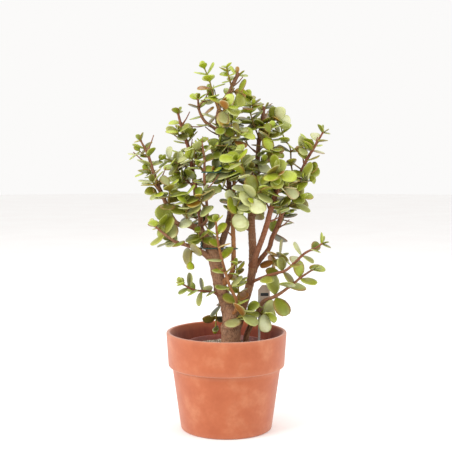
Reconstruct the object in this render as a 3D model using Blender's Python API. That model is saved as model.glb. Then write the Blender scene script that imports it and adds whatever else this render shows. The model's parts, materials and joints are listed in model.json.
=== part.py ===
"""Potted dwarf jade: a terracotta pot, a nursery pot with soil in it, and a shrub of woody
stems, leafy shoots, two wire ties and a plant label. Lengths are in millimetres until a mesh
is written, in metres. The origin is the middle of the pot's underside and +Z is up."""

import math
import random
from collections import namedtuple

import bmesh
import bpy
from mathutils import Matrix, Vector
from mathutils.bvhtree import BVHTree

# ---------------------------------------------------------------- driving dimensions, in mm
POT_RIM_DIAMETER = 210.0
POT_HEIGHT = 170.0
POT_FOOT_DIAMETER = 160.0
POT_SHOULDER_DIAMETER = 189.0      # the body just under the rim band
POT_WALL = 7.0
POT_FLOOR = 10.0
BAND_HEIGHT = 60.0
BAND_FOOT_DIAMETER = 203.0         # the rim band at its lower edge
LIP_ROUNDING = 2.8
FOOT_ROUNDING = 3.0
DRAIN_DIAMETER = 14.0
DRAIN_CIRCLE_DIAMETER = 70.0
DRAIN_COUNT = 3

LINER_WALL = 1.2                   # the nursery pot's plastic
LINER_RIM_WIDTH = 2.6
LINER_RIM_HEIGHT = 5.0
LINER_DROP = 20.0                  # nursery rim below the terracotta rim
LINER_TOP_CLEARANCE = 24.5         # free ring between the two pots at the nursery rim
LINER_FOOT_CLEARANCE = 19.0        # the same at the floor
LINER_DRAIN_DIAMETER = 8.0
LINER_DRAIN_COUNT = 6

SOIL_DROP = 9.0                    # soil below the nursery rim
SOIL_CROWN = 2.5                   # rise of the soil towards the trunk
SEAT_GAP = 0.3                     # air between pieces that touch

CROWN_HEIGHT = 498.0               # highest leaf above the soil
CROWN_WIDTH = 333.0                # across the leaves, left to right
TRUNK_DIAMETER = 33.0              # at the soil
ROOT_DEPTH = 22.0                  # trunk buried in the soil
TWIG_DIAMETER = 2.7
LEAF_WIDTH = 0.84                  # widest place over length
LEAF_LENGTH = 22.0                 # a typical grown leaf
LEAF_THICKNESS = 2.1

WIRE_DIAMETER = 2.0
LOW_TIE_HEIGHT = 174.0             # ties above the soil
HIGH_TIE_HEIGHT = 306.0
TIE_TAIL = 12.0

LABEL_WIDTH = 21.0
LABEL_HEIGHT = 78.0
LABEL_LIFT = 30.0                  # card above the soil
LABEL_THICKNESS = 1.0
STAKE_WIDTH = 4.0
STAKE_DEPTH = 40.0                 # stake in the soil
STAKE_CLEARANCE = 2.6              # from the stake's middle to the nursery pot's wall at its point

# ---------------------------------------------------------------- sizes that follow from those
MM = 0.001
POT_SIDES = 36
GROWN_HEIGHT = 498.0               # the size that the growth table below is drawn at
GROWN_WIDTH = 333.0
GROWN_TRUNK = 33.0
GROWN_LEAF = 17.0
RISE = CROWN_HEIGHT / GROWN_HEIGHT
SPREAD = CROWN_WIDTH / GROWN_WIDTH
GIRTH = TRUNK_DIAMETER / GROWN_TRUNK
LEAF_SCALE = LEAF_LENGTH / GROWN_LEAF
TWIG = TWIG_DIAMETER / 2
SPRIG_LENGTH = 26.0                # a side twig on a shoot
NODE_HEIGHT = 2.0                  # length of stem that a pair of leaves grows from
WOOD_STEP = 24.0                   # spacing of the plain rings along a stem
TIE_LEEWAY = 2.1                    # breadth of a leaf's foot when it is tested against a tie
LEAF_ROOM = 0.8                    # kept free round a leaf or a side twig when it is placed
GOLDEN_ANGLE = math.radians(137.5)
LIGHT = Vector((-0.22, -0.42, 0.88)).normalized()  # the side that the leaves turn to
LINER_RIM_Z = POT_HEIGHT - LINER_DROP
LINER_FLOOR_Z = POT_FLOOR + SEAT_GAP
SOIL_Z = LINER_RIM_Z - SOIL_DROP


def bore_radius(z):
    """Inner radius of the terracotta pot at height z."""
    top = POT_RIM_DIAMETER / 2 - POT_WALL
    bottom = POT_FOOT_DIAMETER / 2 - POT_WALL
    return bottom + (top - bottom) * (z - POT_FLOOR) / (POT_HEIGHT - POT_FLOOR)


def liner_radius(z):
    """Outer radius of the nursery pot's wall at height z."""
    top = bore_radius(LINER_RIM_Z) - LINER_TOP_CLEARANCE - LINER_RIM_WIDTH
    bottom = bore_radius(POT_FLOOR) - LINER_FOOT_CLEARANCE
    return bottom + (top - bottom) * (z - LINER_FLOOR_Z) / (LINER_RIM_Z - LINER_FLOOR_Z)


# ---------------------------------------------------------------- the plant, as it grew
# Points are x, y, z from the middle of the soil's surface; x is to the right, y to the back.
# girth is the wood's radius from base to tip. leaves says where along the stem the first pair
# of leaves stands, how many pairs follow, how long a leaf is and how the first pair is turned.
Growth = namedtuple("Growth", "name parent points girth leaves tone")
Leaves = namedtuple("Leaves", "start pairs length turn")

WOOD = [
    Growth("main_trunk", None,
           [(7, 0, -ROOT_DEPTH), (7, 0, 8), (8, 0, 51), (1, 0, 77), (-10, 0, 104), (-17, 2, 135),
            (-23, 4, 161), (-29, 6, 176)],
           (17.5, 16.5, 17.5, 14, 11.5, 11, 11, 9), None, "bark"),
    Growth("right_stem", "main_trunk",
           [(8, 4, 30), (20, 12, 41), (29, 14, 71), (38, 14, 98), (45, 16, 133), (46, 20, 168), (44, 26, 210),
            (44, 32, 235), (49, 38, 269), (54, 44, 309), (57, 50, 355), (63, 54, 392), (66, 56, 419)],
           (7.5, 8, 7.5, 7.2, 7, 6.8, 6.4, 6, 5, 4.2, 3.9, 3.6, 3.4), Leaves(0.6, 6, 16, 20), "brown"),
    Growth("second_trunk", None,
           [(34, 16, -ROOT_DEPTH), (34, 16, 9), (40, 16, 30), (55, 8, 62), (64, 2, 80), (89, -10, 94),
            (116, -20, 116), (127, -24, 126), (148, -28, 141)],
           (5.4, 5, 4.8, 4.2, 3.6, 3, 2.4, 2, 1.5), Leaves(0.46, 5, 22, 70), "brown"),
    Growth("left_limb", "main_trunk",
           [(-22, 4, 156), (-36, 0, 163), (-46, -8, 171), (-56, -16, 177), (-71, -28, 183), (-87, -36, 189),
            (-106, -40, 203), (-122, -42, 217)],
           (5, 4.4, 4, 3.5, 3, 2.4, 2, 1.5), Leaves(0.62, 3, 19, 40), "brown"),
    Growth("left_outer_stem", "main_trunk",
           [(-29, 6, 176), (-39, 6, 194), (-53, 0, 209), (-66, -8, 215), (-83, -14, 217), (-93, -16, 228),
            (-100, -16, 243), (-109, -14, 266), (-118, -10, 285), (-128, -4, 313), (-135, 0, 335),
            (-149, 6, 362)],
           (7.6, 6.5, 5.8, 4.8, 4.2, 4, 3.6, 3.2, 3, 2.6, 2.2, 1.5), Leaves(0.54, 7, 16, 10), "brown"),
    Growth("left_upright_stem", "left_outer_stem",
           [(-38, 6, 192), (-45, 12, 211), (-46, 14, 228), (-54, 20, 263), (-55, 24, 284), (-59, 30, 304),
            (-66, 38, 345), (-77, 44, 376), (-86, 50, 410)],
           (4.4, 4.2, 4, 3.8, 3.6, 3.4, 3.2, 2.8, 2), Leaves(0.46, 7, 15, 60), "red"),
    Growth("central_leader", "main_trunk",
           [(-16, 6, 148), (-10, 18, 177), (-1, 24, 203), (6, 28, 229), (6, 30, 255), (4, 32, 290),
            (1, 34, 331), (-7, 36, 355), (-13, 34, 376), (-16, 24, 398), (-10, 14, 422), (4, 8, 441),
            (11, 6, 456), (20, 4, 474)],
           (6.5, 6, 5.6, 5.4, 5, 4.6, 4.2, 3.8, 3.6, 3.6, 3.5, 3.4, 3.3, 3.3),
           Leaves(0.6, 4, 15, 30), "dark"),
    Growth("centre_stem", "main_trunk",
           [(0, 0, 110), (9, -8, 132), (12, -6, 155), (12, -4, 188), (11, 2, 213), (12, 8, 240),
            (13, 10, 291), (10, 8, 333)],
           (4.4, 4.2, 4, 3.8, 3.6, 3.2, 2.6, 1.8), Leaves(0.6, 5, 15, 45), "orange"),
    Growth("left_thin_stem", "left_upright_stem",
           [(-45, 12, 211), (-35, -4, 222), (-33, -9, 238), (-35, -10, 261), (-38, -11, 290), (-38, -14, 331),
            (-43, -16, 358)],
           (2.8, 2.6, 2.5, 2.4, 2.2, 2, 1.5), Leaves(0.4, 6, 15, 0), "brown"),
    Growth("leader_fork", "central_leader",
           [(-13, 34, 376), (-24, 40, 384), (-38, 42, 394), (-48, 40, 413), (-50, 38, 434)],
           (3, 2.8, 2.6, 2.2, 1.5), Leaves(0.3, 4, 17, 80), "brown"),
    Growth("right_inner_stem", "right_stem",
           [(45, 18, 140), (51, 8, 160), (63, 0, 194), (70, -4, 217), (75, -8, 237), (84, -12, 268),
            (90, -14, 292), (95, -14, 315)],
           (5.4, 5, 4.8, 4.7, 4.6, 4.5, 4.4, 4.2), Leaves(0.66, 3, 15, 40), "red"),
    Growth("right_outer_stem", "right_stem",
           [(45, 16, 130), (59, 28, 150), (75, 34, 170), (80, 36, 187), (88, 38, 204), (95, 38, 222),
            (99, 38, 238), (112, 36, 265), (133, 32, 310), (143, 30, 331), (155, 28, 351), (169, 26, 376)],
           (4.6, 4.4, 4.2, 4.2, 4.2, 4, 4, 3.6, 3, 2.6, 2.2, 1.5), Leaves(0.48, 8, 16, 10), "red"),
    Growth("front_shoot", "main_trunk",
           [(8, 0, 58), (15, -18, 66), (17, -25, 86), (13, -27, 96), (5, -28, 113), (-6, -32, 151),
            (-12, -36, 175), (-16, -40, 201), (-18, -42, 225)],
           (2.8, 2.7, 2.6, 2.6, 2.5, 2.3, 2.1, 1.9, 1.5), Leaves(0.2, 7, 17, 5), "orange"),
    Growth("low_right_shoot", "right_stem",
           [(41, 14, 108), (47, 0, 116), (55, -8, 121), (68, -14, 127), (88, -22, 134), (100, -26, 138),
            (113, -30, 149), (133, -34, 169), (153, -36, 179), (163, -36, 187)],
           (2.9, 2.8, 2.6, 2.5, 2.4, 2.3, 2.2, 2, 1.8, 1.5), Leaves(0.3, 6, 17, 35), "red"),
    Growth("low_left_shoot", "main_trunk",
           [(-4, 0, 88), (-15, -8, 94), (-23, -13, 99), (-39, -18, 102), (-57, -24, 105), (-76, -28, 116)],
           (2.4, 2.2, 2, 1.8, 1.6, 1.4), Leaves(0.36, 5, 16, 50), "red"),
]

SHOOTS = [
    ("left_outer_side_shoot", "left_outer_stem",
     [(-99, -16, 243), (-98, -27, 258), (-96, -28, 286)], 4, 19, 0),
    ("left_low_shoot", "left_outer_stem", [(-88, -14, 221), (-103, -26, 219), (-114, -30, 213)], 3, 19, 60),
    ("left_front_shoot", "left_outer_stem", [(-66, -8, 215), (-69, -26, 241), (-67, -34, 256)], 4, 20, 10),
    ("left_hanging_shoot", "left_limb", [(-56, -16, 177), (-61, -24, 166), (-62, -26, 153)], 1, 23, 10),
    ("trunk_top_shoot", "left_outer_stem", [(-36, 6, 190), (-46, -18, 194), (-49, -24, 206)], 3, 15, 0),
    ("left_upright_side_shoot", "left_upright_stem",
     [(-60, 31, 310), (-88, 24, 322), (-109, 20, 330)], 5, 15, 0),
    ("crown_tip_shoot", "central_leader",
     [(-13, 19, 411), (-22, 12, 434), (-29, 10, 462), (-39, 8, 486)], 5, 15, 0),
    ("crown_upper_shoot", "central_leader", [(10, 6, 454), (4, 0, 468), (0, -2, 486)], 4, 12, 50),
    ("crown_right_shoot", "central_leader", [(6, 7, 445), (20, -4, 442), (31, -8, 441)], 3, 15, 0),
    ("crown_front_shoot", "central_leader", [(-14, 18, 412), (-3, -6, 411), (6, -16, 420)], 4, 17, 40),
    ("upper_right_shoot", "right_stem",
     [(59, 51, 366), (49, 40, 386), (42, 37, 409), (42, 36, 433)], 5, 15, 20),
    ("right_top_shoot", "right_stem", [(63, 54, 392), (77, 50, 395), (93, 46, 400)], 4, 14, 0),
    ("right_forked_shoot", "right_outer_stem",
     [(121, 34, 284), (114, 36, 317), (112, 40, 348), (102, 42, 363), (94, 44, 392)], 5, 14, 0),
    ("right_fork_side_shoot", "right_forked_shoot",
     [(112, 40, 342), (124, 30, 347), (138, 26, 352)], 3, 14, 30),
    ("right_bend_shoot", "right_outer_stem", [(101, 38, 242), (116, 20, 249), (134, 12, 262)], 3, 20, 20),
    ("right_pale_shoot", "right_outer_stem", [(129, 32, 302), (138, 18, 304), (145, 10, 298)], 3, 19, 0),
    ("inner_left_shoot", "right_inner_stem", [(92, -14, 300), (80, -28, 305), (76, -34, 298)], 3, 19, 60),
    ("inner_right_shoot", "right_inner_stem",
     [(86, -12, 276), (101, -22, 284), (108, -26, 294)], 4, 16, 30),
    ("mint_shoot", "right_stem",
     [(43, 30, 230), (38, -4, 252), (36, -28, 284), (27, -34, 317), (23, -36, 341)], 5, 19, 10),
    ("mint_side_shoot", "mint_shoot", [(37, -16, 264), (48, -32, 269), (60, -38, 280)], 3, 21, 0),
    ("mint_left_shoot", "centre_stem", [(12, 6, 232), (17, -18, 246), (23, -30, 262)], 3, 21, 20),
    ("inner_pale_shoot", "left_thin_stem", [(-34, -9, 243), (-41, -22, 251), (-46, -31, 268)], 3, 19, 0),
    ("middle_left_shoot", "central_leader", [(1, 34, 325), (-14, 14, 337), (-24, -2, 349)], 4, 16, 30),
    ("middle_low_shoot", "central_leader", [(4, 32, 296), (-12, 8, 304), (-22, -12, 311)], 4, 17, 60),
    ("middle_right_shoot", "central_leader", [(-3, 35, 345), (14, 14, 360), (23, 2, 378)], 4, 16, 10),
    ("crown_low_shoot", "central_leader", [(-13, 34, 374), (2, 16, 386), (13, 6, 399)], 4, 15, 45),
    ("stub_shoot", "right_stem", [(54, 44, 312), (66, 30, 329), (79, 20, 348)], 4, 16, 20),
    ("upper_middle_shoot", "right_stem", [(56, 49, 340), (69, 24, 358), (75, 14, 376)], 4, 16, 50),
    ("back_leader_shoot", "central_leader", [(3, 32, 305), (-1, 80, 343), (-8, 98, 370)], 5, 17, 0),
    ("back_right_shoot", "right_stem", [(44, 28, 216), (64, 66, 253), (76, 90, 288)], 5, 17, 30),
    ("back_left_shoot", "left_upright_stem", [(-54, 22, 273), (-74, 64, 298), (-88, 84, 325)], 5, 17, 60),
    ("back_low_shoot", "central_leader", [(-10, 18, 178), (-34, 56, 204), (-54, 78, 232)], 5, 17, 20),
    ("back_outer_shoot", "right_outer_stem", [(78, 36, 178), (97, 72, 208), (114, 92, 243)], 5, 17, 50),
    ("back_crown_shoot", "central_leader", [(-8, 36, 357), (10, 72, 394), (16, 86, 424)], 5, 15, 10),
    ("low_front_shoot", "second_trunk", [(54, 9, 60), (63, -8, 61), (74, -18, 62)], 3, 20, 20),
    ("trunk_front_shoot", "main_trunk", [(10, 0, 46), (28, -28, 60), (38, -36, 70)], 3, 21, 0),
    ("hanging_shoot", "right_outer_stem", [(74, 33, 168), (82, 26, 154), (81, 22, 136)], 3, 17, 10),
    ("fork_shoot", "main_trunk", [(12, 0, 64), (20, -12, 84), (20, -15, 112), (17, -14, 150)], 7, 14, 30),
    ("trunk_left_shoot", "main_trunk", [(-2, 2, 78), (-14, 12, 70), (-18, 13, 52), (-19, 12, 32)], 3, 15, 0),
]


# Side twigs on the older stems: the shares of the stem's length that they grow between, and
# how many there are. Each stands a golden angle further round than the one below it.
TWIGS = {
    "right_stem": (0.46, 0.94, 8), "left_outer_stem": (0.42, 0.90, 5), "left_upright_stem": (0.30, 0.90, 6),
    "central_leader": (0.40, 0.94, 9), "centre_stem": (0.42, 0.92, 6), "left_thin_stem": (0.30, 0.85, 4),
    "leader_fork": (0.30, 0.80, 2), "right_inner_stem": (0.48, 0.93, 5), "right_outer_stem": (0.34, 0.88, 6),
    "front_shoot": (0.50, 0.85, 1), "left_limb": (0.50, 0.80, 1),
}


def smooth_path(points, step):
    """A Catmull-Rom curve through the points, with a point about every step mm."""
    ends = [points[0] * 2 - points[1]] + points + [points[-1] * 2 - points[-2]]
    curve = []
    for a, b, c, d in zip(ends, ends[1:], ends[2:], ends[3:]):
        count = max(1, round((c - b).length / step))
        for i in range(count):
            t = i / count
            curve.append(0.5 * (2 * b + (c - a) * t + (2 * a - 5 * b + 4 * c - d) * t ** 2
                                + (3 * b - a - 3 * c + d) * t ** 3))
    curve.append(points[-1].copy())
    return curve


def tube_polygons(count, sides):
    """Outward faces of a capped tube of rings, as vertex numbers."""
    faces = [tuple(range(sides)), tuple(reversed(range((count - 1) * sides, count * sides)))]
    for k in range(count - 1):
        for j in range(sides):
            low, high = k * sides, (k + 1) * sides
            after = (j + 1) % sides
            faces.append((high + j, high + after, low + after, low + j))
    return faces


class Stem:
    """A stem's centre line, with its radius and a steady frame at each distance along it."""

    def __init__(self, name, points, girth, leaves, tone, sides, twigs=None):
        self.name = name
        self.leaves = leaves
        self.twigs = twigs
        self.tone = tone
        self.girth = girth
        self.sides = sides
        self.sprigs = []
        self.line = smooth_path(points, 4.0)
        self.reach = [0.0]
        for a, b in zip(self.line, self.line[1:]):
            self.reach.append(self.reach[-1] + (b - a).length)
        self.length = self.reach[-1]
        self.start = 0.0
        self.tree = self.surface()

    def nearest(self, point):
        return min(self.line, key=lambda here: (here - point).length).copy()

    def step_clear_of(self, parent):
        """Begin this stem where its square end just stands free of the stem that it grows from."""
        while not self.clear_of(parent):
            self.start += 0.2
            self.tree = self.surface()

    def surface(self, room=0.0):
        """The stem's own surface, without its leaves and with some room round it."""
        rings = [self.ring(place, room) for place in self.ring_places()]
        corners = [corner for ring in rings for corner in ring]
        return BVHTree.FromPolygons(corners, tube_polygons(len(rings), self.sides))

    def clear_of(self, parent):
        """Whether this stem's square end stands free of the stem that it grows from."""
        ring = self.ring(self.start)
        edges = [(a + b) / 2 for a, b in zip(ring, ring[1:] + ring[:1])]
        for point in ring + edges + [self.at(self.start)[0]]:
            place, normal, _, away = parent.tree.find_nearest(point)
            if away < SEAT_GAP or (point - place).dot(normal) < 0:
                return False
        return not self.tree.overlap(parent.tree)

    def at(self, distance):
        """Point and direction at a distance along the stem."""
        distance = min(max(distance, 0.0), self.length)
        k = 0
        while k < len(self.reach) - 2 and self.reach[k + 1] < distance:
            k += 1
        share = (distance - self.reach[k]) / (self.reach[k + 1] - self.reach[k])
        point = self.line[k].lerp(self.line[k + 1], share)
        before = self.line[max(k - 1, 0)]
        after = self.line[min(k + 2, len(self.line) - 1)]
        return point, (after - before).normalized()

    def radius(self, distance):
        place = min(max(distance / self.length, 0.0), 1.0) * (len(self.girth) - 1)
        k = min(int(place), len(self.girth) - 2)
        return self.girth[k] + (self.girth[k + 1] - self.girth[k]) * (place - k)

    def radial(self, distance, angle):
        """The direction straight out of the stem at an angle round it, in radians."""
        along = self.at(distance)[1]
        side = Vector((along.z, 0, -along.x)).normalized()
        return side * math.cos(angle) + side.cross(along) * math.sin(angle)

    def ring(self, distance, swell=0.0):
        """The corners of the stem's cross-section."""
        middle = self.at(distance)[0]
        reach = self.radius(distance) + swell
        return [middle + self.radial(distance, self.corner_angle(k + 0.5)) * reach for k in range(self.sides)]

    def corner_angle(self, k):
        """The angle round the stem of its corners, or half way between them of its faces."""
        return math.radians(self.leaves.turn if self.leaves else 0) + math.tau * k / self.sides

    @staticmethod
    def spaced(start, stop, step):
        count = max(1, round((stop - start) / step))
        return [start + (stop - start) * k / count for k in range(count + 1)]

    def pair_places(self):
        """Distance along the stem of each pair of leaves, closer together towards the tip."""
        if not self.leaves:
            return []
        first = max(self.length * self.leaves.start, self.start + 1.5 * NODE_HEIGHT)
        last = self.length - NODE_HEIGHT
        count = self.leaves.pairs
        return [first + (last - first) * (k / max(count - 1, 1)) ** 0.85 for k in range(count)]

    def twig_places(self):
        """Distance along the stem of each side twig, between the pairs of leaves."""
        if not self.twigs:
            return []
        start, stop, count = self.twigs
        places = []
        for k in range(count):
            place = self.length * (start + (stop - start) * k / max(count - 1, 1))
            while any(abs(place - pair) < 1.6 * NODE_HEIGHT for pair in self.pair_places() + places):
                place += NODE_HEIGHT / 2
            places.append(place)
        return places

    def ring_places(self):
        """Distance along the stem of each of its rings: two for a pair of leaves or a side twig,
        and plain ones between them."""
        nodes = self.pair_places() + self.twig_places()
        plain = [place for place in self.spaced(self.start, self.length, WOOD_STEP)
                 if all(abs(place - node) > NODE_HEIGHT * 0.9 for node in nodes)]
        edges = [node + half for node in nodes for half in (-NODE_HEIGHT / 2, NODE_HEIGHT / 2)]
        return sorted(plain + edges)

    def at_height(self, z):
        """Middle and radius of the stem at each place where it passes the height z."""
        return [(low.lerp(high, (z - low.z) / (high.z - low.z)), self.radius(self.reach[k]))
                for k, (low, high) in enumerate(zip(self.line, self.line[1:])) if low.z <= z < high.z]


class Leaf:
    """One leaf: a thick blade, wedge-shaped at its foot and widest past its middle."""

    def __init__(self, base, along, face, length):
        self.base = base
        self.along = along
        self.face = (face - along * face.dot(along)).normalized()
        self.side = along.cross(self.face)
        self.length = length

    def rings(self, room=0.0):
        """Cross-sections of four corners each, from the foot to the blade's end."""
        thick = LEAF_THICKNESS * min(1.0, 0.45 + 0.55 * self.length / LEAF_LENGTH)
        rings = []
        for place, width, depth in ((0.38, 0.90, 1.0), (0.80, 0.90, 0.8)):
            middle = self.base + self.along * (self.length * place) - self.face * (self.length * 0.05 * place)
            wide = self.side * (self.length * LEAF_WIDTH * width + room) / 2
            deep = self.face * (thick * depth + room) / 2
            rings.append([middle + wide, middle + deep, middle - wide, middle - deep])
        return rings

    def tip(self, room=0.0):
        return self.base + self.along * (self.length + room / 2) - self.face * (self.length * 0.05)

    def hull(self, from_share, foot_reach):
        """The leaf with room round it, from a share of the way up its foot, to test what it meets."""
        rings = self.rings(LEAF_ROOM)
        middle = (rings[0][0] + rings[0][2]) / 2
        foot = [self.base.lerp(corner, from_share) + (corner - middle).normalized() * foot_reach
                for corner in rings[0]]
        rings = [foot] + rings
        corners = [corner for ring in rings for corner in ring] + [self.tip(LEAF_ROOM)]
        faces = tube_polygons(len(rings), 4)[:1] + tube_polygons(len(rings), 4)[2:]
        last = 4 * (len(rings) - 1)
        faces += [(last + j, last + (j + 1) % 4, last + 4) for j in range(4)]
        return BVHTree.FromPolygons(corners, faces)


STEMS = {}
SOLIDS = []        # what a leaf must not run into: pots, soil, wood, wires and label
PLACED = []        # middle, reach and hull of each leaf that has its place
TIES = []          # wires, which a leaf's foot must clear whichever way it is turned


def fits(leaf, whole, stem):
    """Whether a leaf's place is free of its stem, of every other solid and of every leaf before it."""
    if leaf.hull(0.2, NODE_HEIGHT * 0.6).overlap(stem.tree):
        return False
    if any(solid is not stem.tree and whole.overlap(solid) for solid in SOLIDS):
        return False
    middle = leaf.base + leaf.along * leaf.length / 2
    reach = leaf.length * 0.62
    return not any((middle - other).length < reach + far and whole.overlap(tree)
                   for other, far, tree in PLACED)


def place_leaf(stem, distance, angle, length, spread, sway):
    """Turn a leaf, and if need be shorten it, until it has a place of its own. Where there is
    none, as right under a tie, the leaf has fallen and its place on the stem is bare."""
    point, direction = stem.at(distance)
    out = stem.radial(distance, angle)
    base = point + out * stem.radius(distance) * math.cos(math.pi / stem.sides)
    foot_reach = 0.9 * math.hypot(NODE_HEIGHT / 2, stem.radius(distance) * math.sin(math.pi / stem.sides))
    for size in (1.0, 0.86, 0.72, 0.6, 0.48, 0.36, 0.26):
        for lean in (0, -14, 14, -28, 26):
            for swing in (0, 18, -18, 36, -36):
                away = stem.radial(distance, angle + math.radians(swing))
                tilt = math.radians(spread + lean)
                along = (direction * math.cos(tilt) + away * math.sin(tilt)).normalized()
                up = direction - along * direction.dot(along)
                light = (LIGHT - along * LIGHT.dot(along)).normalized()
                leaf = Leaf(base, along, up.normalized() * (1 - sway) + light * sway, length * size)
                whole = leaf.hull(0.0, foot_reach)
                broad = leaf.hull(0.0, foot_reach * TIE_LEEWAY)
                if fits(leaf, whole, stem) and not any(broad.overlap(tie) for tie in TIES):
                    PLACED.append((base + along * leaf.length / 2, leaf.length * 0.62, whole))
                    return leaf
    return None


def place_sprig(stem, k, distance, side, length):
    """A short side twig, turned until it stands free."""
    direction = stem.at(distance)[1]
    base = stem.at(distance)[0] + stem.radial(distance, stem.corner_angle(side + 1)) * stem.radius(distance)
    leaves = Leaves(0.3, 3, stem.leaves.length * 0.96, 90 * (k % 2) + 20)
    for size in (1.0, 0.75, 0.55):
        for lean in (52, 66, 38):
            for swing in (0, 22, -22, 44, -44):
                away = stem.radial(distance, stem.corner_angle(side + 1) + math.radians(swing))
                along = direction * math.cos(math.radians(lean)) + away * math.sin(math.radians(lean))
                tip = base + (along + Vector((0, 0, 0.15))) * length * size
                points = [base, base + along * length * size * 0.5, tip]
                sprig = Stem("%s_%d" % (stem.name, k), points, (TWIG, TWIG * 0.8, TWIG * 0.6),
                             leaves, stem.tone, 4)
                whole = sprig.surface(LEAF_ROOM)
                sprig.start = NODE_HEIGHT
                sprig.tree = sprig.surface()
                if not sprig.tree.overlap(stem.tree) and not any(
                        whole.overlap(solid) for solid in SOLIDS if solid is not stem.tree):
                    SOLIDS.append(whole)
                    return sprig
    return None


def sprigs_of(stem):
    """The side twigs of a stem, each a golden angle further round it."""
    chance = random.Random(stem.name + " twigs")
    bearing = chance.uniform(0, math.tau)
    sprigs = []
    for k, distance in enumerate(stem.twig_places()):
        heading = Vector((math.cos(bearing), math.sin(bearing), 0))
        outward = [stem.radial(distance, stem.corner_angle(j + 1)) for j in range(stem.sides)]
        side = max(range(stem.sides), key=lambda j: outward[j].dot(heading))
        sprig = place_sprig(stem, k, distance, side, SPRIG_LENGTH * chance.uniform(0.8, 1.3))
        if sprig:
            sprigs.append((distance, side, sprig))
        bearing += GOLDEN_ANGLE
    return sprigs


def leaves_of(stem):
    """Opposite pairs of leaves, each pair turned a quarter from the one below."""
    chance = random.Random(stem.name)
    pairs = []
    places = stem.pair_places()
    for k, distance in enumerate(places):
        share = k / max(len(places) - 1, 1)
        for half in (0, 1):
            side = (k % 2) * stem.sides // 4 + half * stem.sides // 2
            length = stem.leaves.length * LEAF_SCALE * (1.04 - 0.34 * share ** 3) * chance.uniform(0.84, 1.12)
            spread = 68 - 26 * share ** 3 + chance.uniform(-10, 12)
            sway = chance.uniform(0.25, 0.95)
            leaf = place_leaf(stem, distance, stem.corner_angle(side + 1), length, spread, sway)
            pairs.append((distance, side, leaf))
    return [pair for pair in pairs if pair[2]]


# ---------------------------------------------------------------- building meshes
def material(name, color, roughness, metallic=0.0):
    """A Principled material in a plain colour, given as linear red, green and blue."""
    shade = bpy.data.materials.get(name)
    if shade is None:
        shade = bpy.data.materials.new(name)
        shade.use_nodes = True
        principled = shade.node_tree.nodes["Principled BSDF"]
        principled.inputs["Base Color"].default_value = (*color, 1.0)
        principled.inputs["Roughness"].default_value = roughness
        principled.inputs["Metallic"].default_value = metallic
        shade.diffuse_color = (*color, 1.0)
    return shade


def add_object(name, bm, shade):
    """Write a mesh that was drawn in millimetres as an object in metres."""
    bmesh.ops.recalc_face_normals(bm, faces=bm.faces)
    bmesh.ops.scale(bm, vec=(MM, MM, MM), verts=bm.verts)
    mesh = bpy.data.meshes.new(name)
    bm.to_mesh(mesh)
    bm.free()
    mesh.shade_smooth()
    mesh.set_sharp_from_angle(angle=math.radians(40))
    mesh.materials.append(shade)
    thing = bpy.data.objects.new(name, mesh)
    bpy.context.collection.objects.link(thing)
    return thing


def cut(thing, cutter):
    """Cut a hidden cutter's shape out of an object."""
    cutter.hide_render = True
    cutter.display_type = "WIRE"
    boolean = thing.modifiers.new("cut_" + cutter.name, "BOOLEAN")
    boolean.operation = "DIFFERENCE"
    boolean.solver = "EXACT"
    boolean.object = cutter


def grow_ring(bm, ring, corners):
    """Extrude the face on a ring of vertices to new corners, and return the new ring."""
    face = bm.faces.get(ring)
    joined = any(len(edge.link_faces) > 1 for edge in face.edges)
    grown = bmesh.ops.extrude_face_region(bm, geom=[face])["geom"]
    fresh = {tuple(part.co): part for part in grown if isinstance(part, bmesh.types.BMVert)}
    new = [fresh[tuple(vert.co)] for vert in ring]
    if joined and face.is_valid:
        bmesh.ops.delete(bm, geom=[face], context="FACES_ONLY")
    for vert, corner in zip(new, corners):
        vert.co = corner
    return new


def grow_tube(bm, rings, first=None):
    """A closed tube through rings of corners, from a face's vertices if they are given."""
    if first is None:
        first = [bm.verts.new(corner) for corner in rings.pop(0)]
        bm.faces.new(first)
    grown = [first]
    for corners in rings:
        grown.append(grow_ring(bm, grown[-1], corners))
    return grown


def in_order(socket, corners):
    """A four-cornered face's vertices in the order of the corners that they will grow to."""
    orders = [[(start + step * k) % 4 for k in range(4)] for start in range(4) for step in (1, -1)]
    best = min(orders, key=lambda order: sum((socket[j].co - corner).length
                                             for j, corner in zip(order, corners)))
    return [socket[j] for j in best]


def grow_leaf(bm, socket, leaf):
    """Extrude a leaf out of a four-cornered face of its stem."""
    rings = leaf.rings()
    last = grow_tube(bm, rings, in_order(socket, rings[0]))[-1]
    center = bmesh.ops.poke(bm, faces=[bm.faces.get(last)])["verts"][0]
    center.co = leaf.tip()


def grow_stem(bm, stem, socket=None):
    """Extrude a stem, and out of its faces the side twigs and leaves that it carries."""
    places = stem.ring_places()
    corners = [stem.ring(place) for place in places]
    if socket:
        rings = grow_tube(bm, corners, in_order(socket, corners[0]))[1:]
    else:
        rings = grow_tube(bm, corners)
    for distance, side, growth in stem.sprigs + leaves_of(stem):
        k = places.index(distance - NODE_HEIGHT / 2)
        after = (side + 1) % stem.sides
        face = [rings[k][side], rings[k][after], rings[k + 1][after], rings[k + 1][side]]
        if isinstance(growth, Leaf):
            grow_leaf(bm, face, growth)
        else:
            grow_stem(bm, growth, face)


def arc(center, radius, start, stop, count):
    """Profile points (radius, height) on an arc, angles in degrees."""
    points = []
    for k in range(count + 1):
        angle = math.radians(start + (stop - start) * k / count)
        points.append((center[0] + radius * math.cos(angle), center[1] + radius * math.sin(angle)))
    return points


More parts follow.
